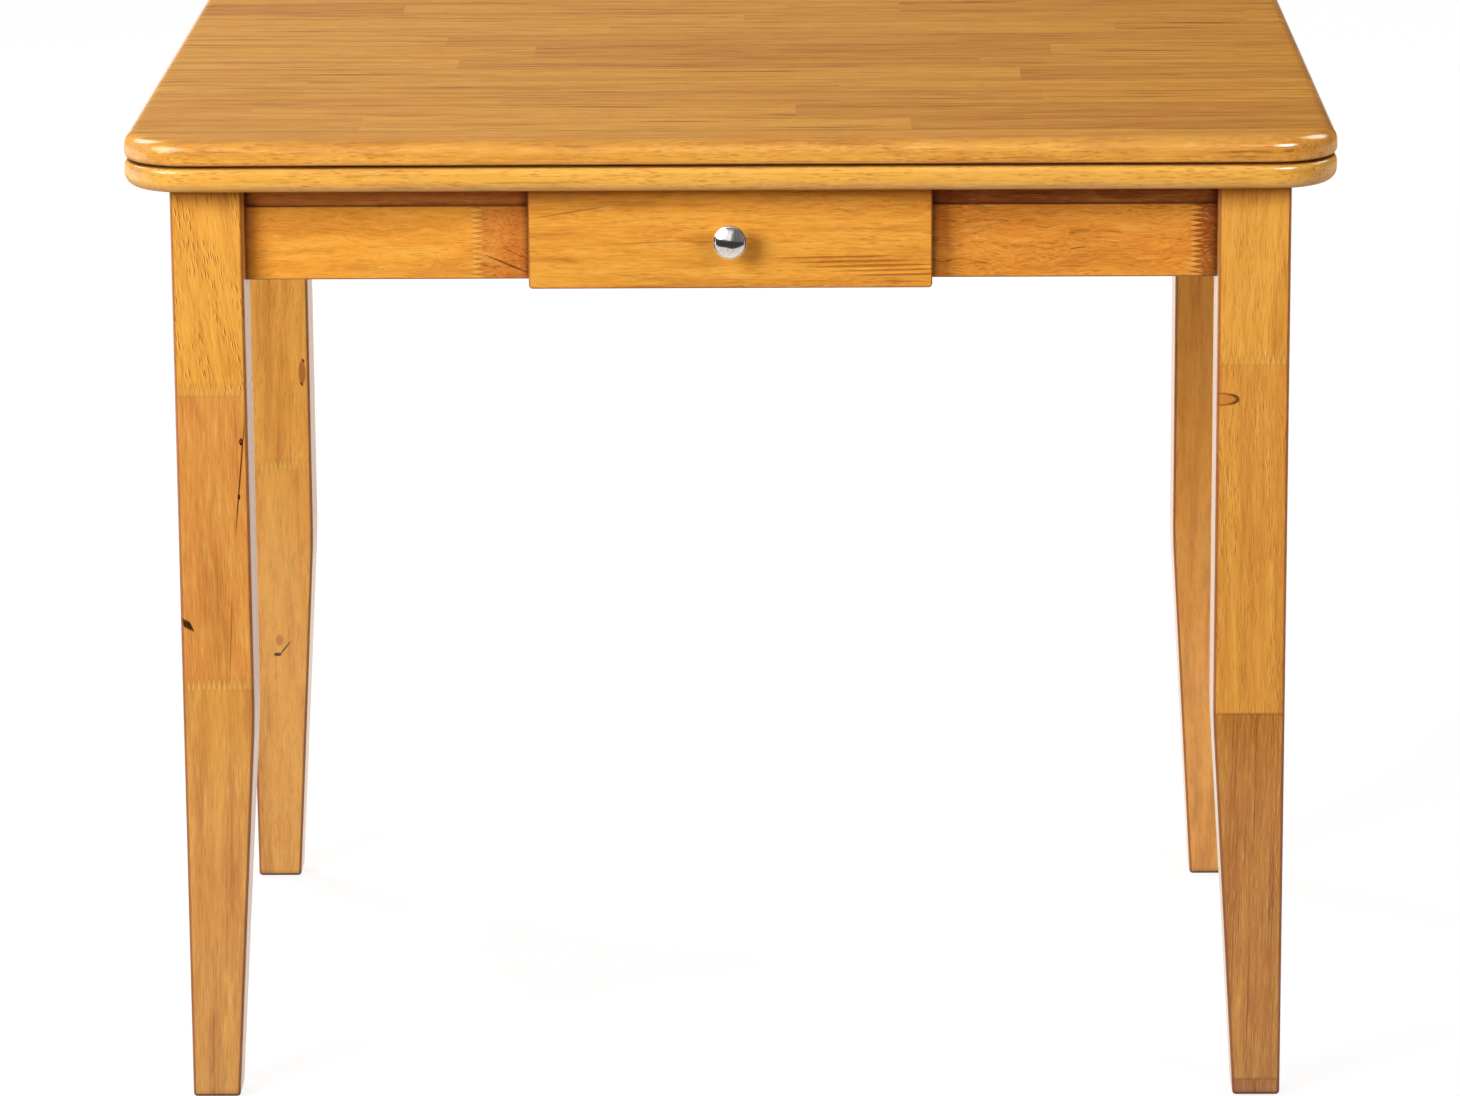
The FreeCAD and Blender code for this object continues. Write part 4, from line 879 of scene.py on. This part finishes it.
# %% [markdown]
# ## The staves of a leaf
# A leaf is edge-glued from staves, and each stave is glued up from short lengths. Staves and
# lengths are numbered from the place in the board. The outermost staves, which hold the rounded
# edges, are one length each. Some glue lines are darker than others, by chance.

# %% Number the staves
STAVE_WIDTH = 56.0
LENGTH_IN_STAVE = 410.0
BEYOND_THE_LEAF = 2000.0    # keeps the place along a stave above zero
STAVE_GLUE_HALF = 1.3
DARKEST_GLUE = 2.0
LEAF_DEPTH = MM_PER_M * (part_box("upper_leaf")[1].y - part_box("upper_leaf")[0].y)
EDGE_STAVE = (LEAF_DEPTH / 2 - STAVE_WIDTH / 2) % STAVE_WIDTH


def number_staves(tree, mm, seed):
    """Staves from the first glue line to a place, its stave, its length, and 1 in an outer stave."""
    from_seam = add(tree, "Math", mm[1], LEAF_DEPTH / 2 - EDGE_STAVE, operation="ADD")
    stave_place = add(tree, "Math", from_seam, STAVE_WIDTH, operation="DIVIDE")
    stave = add(tree, "Math", stave_place, operation="FLOOR")
    chance = add(tree, "TexWhiteNoise", W=add(tree, "Math", stave, seed, operation="ADD"),
                 noise_dimensions="1D").outputs["Value"]
    start = add(tree, "Math", chance, LENGTH_IN_STAVE, BEYOND_THE_LEAF, operation="MULTIPLY_ADD")
    run = add(tree, "Math", mm[0], start, operation="ADD")
    length = add(tree, "Math", run, LENGTH_IN_STAVE, operation="DIVIDE")
    length = add(tree, "Math", length, operation="FLOOR")
    off_middle = add(tree, "Math", mm[1], operation="ABSOLUTE")
    outer = add(tree, "Math", off_middle, LEAF_DEPTH / 2 - EDGE_STAVE, operation="GREATER_THAN")
    inner = add(tree, "Math", 1.0, outer, operation="SUBTRACT")
    length = add(tree, "Math", length, inner, operation="MULTIPLY")
    return stave_place, stave, length, outer


def stave_glue(tree, stave_place, seed):
    """The straight glue lines between staves, each of its own darkness."""
    near_glue = add(tree, "Math", stave_place, 0.5, operation="PINGPONG")
    near_glue = add(tree, "Math", near_glue, STAVE_WIDTH, operation="MULTIPLY")
    line = add(tree, "MapRange", near_glue, 0.0, STAVE_GLUE_HALF, DARKEST_GLUE, 0.0)
    between = add(tree, "Math", stave_place, operation="ROUND")
    darkness = add(tree, "TexWhiteNoise", W=add(tree, "Math", between, seed, operation="ADD"),
                   noise_dimensions="1D").outputs["Value"]
    return add(tree, "Math", line, darkness, operation="MULTIPLY")


print("staves are", STAVE_WIDTH, "mm wide and", LENGTH_IN_STAVE, "mm long")

# %% [markdown]
# ## The leaves
# A hash of the stave's number and the length's gives each length its own tone, its own piece of
# grain and its own small lean. The outer staves are picked for one even tone and quiet lines. The
# lower leaf has a little paler tones.

# %% Finish the two leaves
TONE_SHARES = (0.15, 0.90)
EDGE_SHARE = 0.40
EDGE_LINES = 0.5
STAVE_LEAN = 0.05
OWN_GRAIN_MM = (900.0, 300.0, 300.0)
STAVE_LINES = ((120.0, 3.4), (0.58, 0.69), 0.75)
# how far the painted shade reaches into the groove between the leaves
GROOVE_SHADE_REACH = 0.006


def stave_panel(name, light_tone, dark_tone, seed, amounts):
    """Edge-glued rubberwood staves with their grain along X."""
    material, tree = new_material(name)
    mm = place_in_mm(tree)
    stave_place, stave, length, outer = number_staves(tree, mm, seed)
    numbers = add(tree, "CombineXYZ", stave, length, seed)
    own = add(tree, "TexWhiteNoise", numbers, noise_dimensions="3D")
    share = add(tree, "MapRange", own.outputs["Value"], 0.0, 1.0, *TONE_SHARES)
    share = add(tree, "Mix", outer, share, EDGE_SHARE, data_type="FLOAT")
    tone = blend_in(tree, linear(light_tone), dark_tone, share)

    one_chance = add(tree, "SeparateColor", own.outputs["Color"])
    lean = add(tree, "MapRange", one_chance, 0.0, 1.0, -STAVE_LEAN, STAVE_LEAN)
    slide = add(tree, "Math", mm[0], lean, operation="MULTIPLY")
    place = add(tree, "CombineXYZ", mm[0], add(tree, "Math", mm[1], slide, operation="SUBTRACT"), mm[2])
    own_grain = add(tree, "VectorMath", own.outputs["Color"], OWN_GRAIN_MM, operation="MULTIPLY")
    place = add(tree, "VectorMath", place, own_grain, operation="ADD")

    pores, lines = amounts
    lines = add(tree, "Mix", outer, lines, EDGE_LINES, data_type="FLOAT")
    lacquered_wood(tree, place, tone, (pores, lines), stave_glue(tree, stave_place, seed),
                   growth=STAVE_LINES, arris_tint=0.0, shade_reach=GROOVE_SHADE_REACH)
    return material


wear("upper_leaf", stave_panel("rubberwood_staves_upper_leaf", "#F6B34B", "#D48E39", 3.0, (0.5, 1.1)))
wear("lower_leaf", stave_panel("rubberwood_staves_lower_leaf", "#F8BC54", "#E8A642", 8.0, (0.5, 0.7)))
print("leaves finished; outer staves are", round(EDGE_STAVE, 1), "mm wide")

# %% [markdown]
# ## Unfinished wood inside
# What is out of sight is left as it came from the planer: runners, blocks and drawer sides. The
# same grain serves, in a paler tone and with no lacquer, so it looks dry. Plywood shows its plies
# in turn at the edge. Dowels are beech, which has short fine flecks in place of pores.

# %% Make planed wood and plywood
PLY_THICK = 1.3
PLY_SHADE = 0.3
PLY_FIBRE, MOST_PLY_FIBRE = (0.4, 0.75), 0.35
PLY_FACE, PLY_DARK = "#D9BE91", "#A67C48"
PLY_ROUGHNESS = 0.62
BEECH_FLECK_MM = (2.2, 0.7)
PLANED_BROWN = "#9C6A35"
PLANED_ROUGHNESS = (0.6, 0.75)
PLANED_FIGURE, PLANED_FIBRE = ((0.45, 0.8), 0.35), ((0.5, 0.8), 0.15)
PLANED_PORES = 0.35
PLANED_RELIEF, PLY_RELIEF = 0.6, 0.4


def along(tree, mm, axis):
    """Place with the axis of the grain first."""
    order = [AXES.index(axis)] + [i for i in range(3) if AXES[i] != axis]
    return add(tree, "CombineXYZ", *[mm[i] for i in order])


def planed_wood(name, axis, tone, seed, pore_mm=PORE_MM):
    """Planed wood with no lacquer, its grain along an axis."""
    material, tree = new_material(name)
    place = shifted(tree, along(tree, place_in_mm(tree), axis), seed)
    figure = drawn_out(tree, place, FIGURE_MM, detail=3.0)
    fibre = drawn_out(tree, place, FIBRE_MM)
    colour = blend_where(tree, linear(tone), PLANED_BROWN, figure, *PLANED_FIGURE)
    colour = blend_in(tree, colour, PLANED_BROWN, pore_strokes(tree, place, pore_mm), PLANED_PORES)
    colour = blend_where(tree, colour, PLANED_BROWN, fibre, *PLANED_FIBRE)
    bump = add(tree, "Bump", Strength=PLANED_RELIEF, Distance=PORE_DEPTH, Height=fibre)
    rough = add(tree, "MapRange", fibre, *PATTERN_SWING, *PLANED_ROUGHNESS)
    add(tree, "OutputMaterial", add(tree, "BsdfPrincipled", colour, Roughness=rough, Normal=bump))
    return material


def plywood(name):
    """Thin plywood: a face like planed wood, and plies in turn at its edges."""
    material, tree = new_material(name)
    mm = place_in_mm(tree)
    ply = add(tree, "Math", add(tree, "Math", mm[2], PLY_THICK, operation="DIVIDE"), operation="FLOOR")
    odd = add(tree, "Math", ply, 2.0, operation="FLOORED_MODULO")
    fibre = drawn_out(tree, along(tree, mm, "Y"), FIBRE_MM, detail=3.0)
    lines = add(tree, "MapRange", fibre, *PLY_FIBRE, 0.0, MOST_PLY_FIBRE,
                interpolation_type="SMOOTHSTEP")
    shade = add(tree, "Math", odd, PLY_SHADE, operation="MULTIPLY")
    shade = add(tree, "Math", shade, lines, operation="ADD")
    colour = blend_in(tree, linear(PLY_FACE), PLY_DARK, shade)
    bump = add(tree, "Bump", Strength=PLY_RELIEF, Distance=PORE_DEPTH, Height=fibre)
    surface = add(tree, "BsdfPrincipled", colour, Roughness=PLY_ROUGHNESS, Normal=bump)
    add(tree, "OutputMaterial", surface)
    return material


print("a ply is", PLY_THICK, "mm thick")

# %% [markdown]
# ## Which inner piece wears what
# The grain of a board runs along its length: from front to back in the runners, the cross rails
# and the drawer's sides, and from left to right in the blocks and the drawer's back.

# %% Finish the inner wood
planed = {axis: planed_wood("planed_rubberwood_along_" + axis.lower(), axis, "#DDBB88", 20.0 + i)
          for i, axis in enumerate(("X", "Y"))}
INNER_WOOD = {
    ("cross_rail", "drawer_runner", "drawer_side"): planed["Y"],
    ("corner_block_front", "corner_block_rear", "swivel_stop_blocks", "drawer_back",
     "drawer_stop_block"): planed["X"],
}
for starts, finish in INNER_WOOD.items():
    for node in nodes:
        if node.startswith(starts):
            wear(node, finish)
dowel_wood = planed_wood("beech_dowel", "X", "#E0C094", 30.0, BEECH_FLECK_MM)
for node in nodes:
    if node.endswith("dowels"):
        wear(node, dowel_wood)
wear("drawer_bottom", plywood("birch_plywood"))
print("inner wood finished")

# %% [markdown]
# ## Metal
# Screws, bolts and washers are zinc-plated steel; the hinges are rolled brass. Both keep fine
# lines from rolling or turning, and a little dullness, which is a grey-brown stain in patches.

# %% Make metal
TARNISH = "#6E665A"
TARNISH_MM = (9.0, 6.0)
TARNISH_LIMITS, MOST_TARNISH = (0.4, 0.8), 0.3
METAL_RELIEF = 0.3
LINE_STRETCH = 40
LINE_DEPTH = 0.00005
METAL_ROUGHNESS_SWING = 0.08


def metal(name, tone, roughness, line_mm, axis):
    """Rolled or turned metal with fine lines along an axis."""
    material, tree = new_material(name)
    place = along(tree, place_in_mm(tree), axis)
    line = drawn_out(tree, place, (line_mm * LINE_STRETCH, line_mm), detail=3.0)
    stain = drawn_out(tree, place, TARNISH_MM, detail=3.0)
    colour = blend_where(tree, linear(tone), TARNISH, stain, TARNISH_LIMITS, MOST_TARNISH)
    rough = add(tree, "MapRange", line, *PATTERN_SWING, roughness - METAL_ROUGHNESS_SWING,
                roughness + METAL_ROUGHNESS_SWING)
    bump = add(tree, "Bump", Strength=METAL_RELIEF, Distance=LINE_DEPTH, Height=line)
    surface = add(tree, "BsdfPrincipled", colour, Metallic=1.0, Roughness=rough, Normal=bump)
    add(tree, "OutputMaterial", surface)
    return material


zinc = metal("zinc_plated_steel", "#C9CBCB", 0.34, 0.4, "Z")
brass = metal("rolled_brass", "#D9B063", 0.3, 0.3, "X")
print("made", zinc.name, "and", brass.name)

# %% [markdown]
# ## Felt and plastic
# Felt is a mat of short fibres, so it is rough and has a soft sheen. Nylon is moulded and slightly
# waxy. The bumpers are clear and soft. All three are an even grain in two near tones.

# %% Make felt and plastic
SOFT_RELIEF = 0.5


def soft_stuff(name, tone, other, grain_mm, roughness, depth, **look):
    """Felt or plastic: a fine even grain in two near tones."""
    material, tree = new_material(name)
    metres = add(tree, "TexCoord").outputs["Object"]
    grain = add(tree, "TexNoise", metres, Scale=MM_PER_M / grain_mm, Detail=3.0)
    colour = blend_where(tree, linear(tone), other, grain, PATTERN_SWING, 1.0)
    bump = add(tree, "Bump", Strength=SOFT_RELIEF, Distance=depth, Height=grain)
    surface = add(tree, "BsdfPrincipled", colour, Roughness=roughness, Normal=bump, **look)
    add(tree, "OutputMaterial", surface)
    return material


felt = soft_stuff("pressed_felt", "#6F6A62", "#8A847A", 0.5, 0.95, 0.0004, Sheen_Weight=0.5)
nylon = soft_stuff("moulded_nylon", "#E9E6DC", "#DFDBCF", 1.2, 0.38, 0.00004)
clear = soft_stuff("clear_soft_pad", "#EEF0EE", "#E2E6E4", 2.0, 0.2, 0.00002, Transmission_Weight=0.8)
print("made", felt.name + ",", nylon.name, "and", clear.name)

# %% [markdown]
# ## The small parts
# Each small part wears the finish of what it is made of, so one table gives them all.

# %% Finish the small parts
FINISHES = {
    "rail_screws": zinc, "corner_block_screws": zinc, "hanger_bolts": zinc, "bolt_washers": zinc,
    "wing_nuts": zinc, "pivot_flange": zinc, "pivot_flange_screws": zinc, "pivot_washer": zinc,
    "pivot_spring_washer": zinc, "pivot_lock_nut": zinc, "swivel_stop_pin": zinc, "drawer_screws": zinc,
    "knob_screw": zinc, "hinge_pins": brass, "lower_hinge_screws": brass, "upper_hinge_screws": brass,
    "slide_pads": felt, "floor_glides": nylon, "pivot_slip_ring": nylon, "pivot_bush": nylon,
    "leaf_bumpers": clear,
}
for node, finish in FINISHES.items():
    wear(node, finish)
for node in nodes:
    if node.startswith(("hinge_lower_plate", "hinge_upper_plate")):
        wear(node, brass)
print("small parts finished:", len(FINISHES))

# %% [markdown]
# ## The knob
# The knob is turned: a foot, a thin neck, a flare up to a rounded rim, and a shallow dome. A mirror
# shows every flat facet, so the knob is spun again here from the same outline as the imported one,
# with many more steps.

# %% Draw the outline of the knob
FOOT_RADIUS, FOOT_THICK = 0.0070, 0.0015
NECK_RADIUS, NECK_FROM, NECK_TO = 0.0045, 0.00375, 0.0095
RIM = 0.0016
DOME_START = 17.2 / 21.0    # share of the knob's height
DOME_RADIUS = 0.0202
ARC_STEPS = 8
DOME_STEPS = 24

knob_low, knob_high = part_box("drawer_knob")
knob_radius = (knob_high.x - knob_low.x) / 2
knob_centre = Vector(((knob_low.x + knob_high.x) / 2, knob_high.y, (knob_low.z + knob_high.z) / 2))
knob_out = knob_high.y - knob_low.y


def knob_outline():
    """Radius and height from the drawer front, from the foot to the crown."""
    points = [(0.0, 0.0), (FOOT_RADIUS, 0.0), (FOOT_RADIUS, FOOT_THICK),
              (NECK_RADIUS, NECK_FROM), (NECK_RADIUS, NECK_TO)]
    rim_end = knob_out * DOME_START
    flare_radius, flare_height = knob_radius - RIM / 2, rim_end - RIM
    for i in range(1, ARC_STEPS + 1):
        angle = i / ARC_STEPS * math.pi / 2
        points.append((NECK_RADIUS + (flare_radius - NECK_RADIUS) * (1 - math.cos(angle)),
                       NECK_TO + (flare_height - NECK_TO) * math.sin(angle)))
    for i in range(1, ARC_STEPS + 1):
        angle = math.pi * (i / ARC_STEPS - 0.5)
        points.append((flare_radius + RIM / 2 * math.cos(angle),
                       rim_end - RIM / 2 + RIM / 2 * math.sin(angle)))
    edge = knob_radius - RIM
    widest = math.asin(edge / DOME_RADIUS)
    points.append((edge, rim_end))
    for i in range(DOME_STEPS + 1):
        angle = widest * (1 - i / DOME_STEPS)
        points.append((DOME_RADIUS * math.sin(angle), knob_out - DOME_RADIUS * (1 - math.cos(angle))))
    return points


print("knob radius", round(MM_PER_M * knob_radius, 2), "mm, out", round(MM_PER_M * knob_out, 2), "mm")

# %% [markdown]
# ## Spinning the knob
# A lathe turns the outline round an axis, and so does Blender's spin. The knob is spun upright,
# its seam is joined, and it is then laid down to point at whoever opens the drawer.

# %% Spin the knob
KNOB_STEPS = 96
SAME_POINT = 1e-6
ORIGIN, UPWARDS = (0, 0, 0), (0, 0, 1)

mesh = bmesh.new()
outline = [mesh.verts.new((radius, 0, height)) for radius, height in knob_outline()]
edges = [mesh.edges.new(pair) for pair in zip(outline, outline[1:])]
bmesh.ops.spin(mesh, geom=outline + edges, axis=UPWARDS, cent=ORIGIN, angle=2 * math.pi,
               steps=KNOB_STEPS)
bmesh.ops.remove_doubles(mesh, verts=mesh.verts, dist=SAME_POINT)
bmesh.ops.recalc_face_normals(mesh, faces=mesh.faces)
# spin lists its faces in no fixed order, so they are sorted to come out the same each time
mesh.verts.index_update()
points = len(mesh.verts)
mesh.faces.sort(key=lambda face: sum(corner.index * points ** i for i, corner in enumerate(face.verts)))
bmesh.ops.rotate(mesh, verts=mesh.verts, cent=ORIGIN, matrix=Matrix.Rotation(math.pi / 2, 3, "X"))
bmesh.ops.translate(mesh, verts=mesh.verts, vec=knob_centre)
knob_mesh = bpy.data.meshes.new("polished_knob")
mesh.to_mesh(knob_mesh)
mesh.free()
knob_mesh.shade_smooth()
knob = bpy.data.objects.new("polished_knob", knob_mesh)
bpy.context.scene.collection.objects.link(knob)
print("the knob has", len(knob_mesh.polygons), "faces")

# %% [markdown]
# ## Polished nickel
# The knob is nickel plated and polished, so it mirrors the white above and the dark part of the
# room in one small picture. Polishing leaves faint wiping marks, in which the gloss and the tone
# change a little. The glint lamp is kept off the knob here, and the knob takes the place of the
# packed one on the drawer.

# %% Polish the knob
WIPE_MM = (30.0, 0.8)
NICKEL, NICKEL_WIPED = "#F2F0EC", "#D9D6D1"
NICKEL_ROUGHNESS = (0.08, 0.15)
WIPE_SWING, WIPE_TINT = (0.35, 0.65), (0.35, 0.7)

material, tree = new_material("polished_nickel_plate")
wipe = drawn_out(tree, along(tree, place_in_mm(tree), "Z"), WIPE_MM)
rough = add(tree, "MapRange", wipe, *WIPE_SWING, *NICKEL_ROUGHNESS)
tint = blend_where(tree, linear(NICKEL), NICKEL_WIPED, wipe, WIPE_TINT, 1.0)
add(tree, "OutputMaterial", add(tree, "BsdfPrincipled", tint, Metallic=1.0, Roughness=rough))
knob_mesh.materials.append(material)

black_card = bpy.data.collections.new("glint_lamp_off_the_knob")
black_card.objects.link(knob)
black_card.collection_objects[0].light_linking.link_state = "EXCLUDE"
glint_lamp.light_linking.receiver_collection = black_card
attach(knob, "drawer")
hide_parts("drawer_knob")
print("made", material.name)
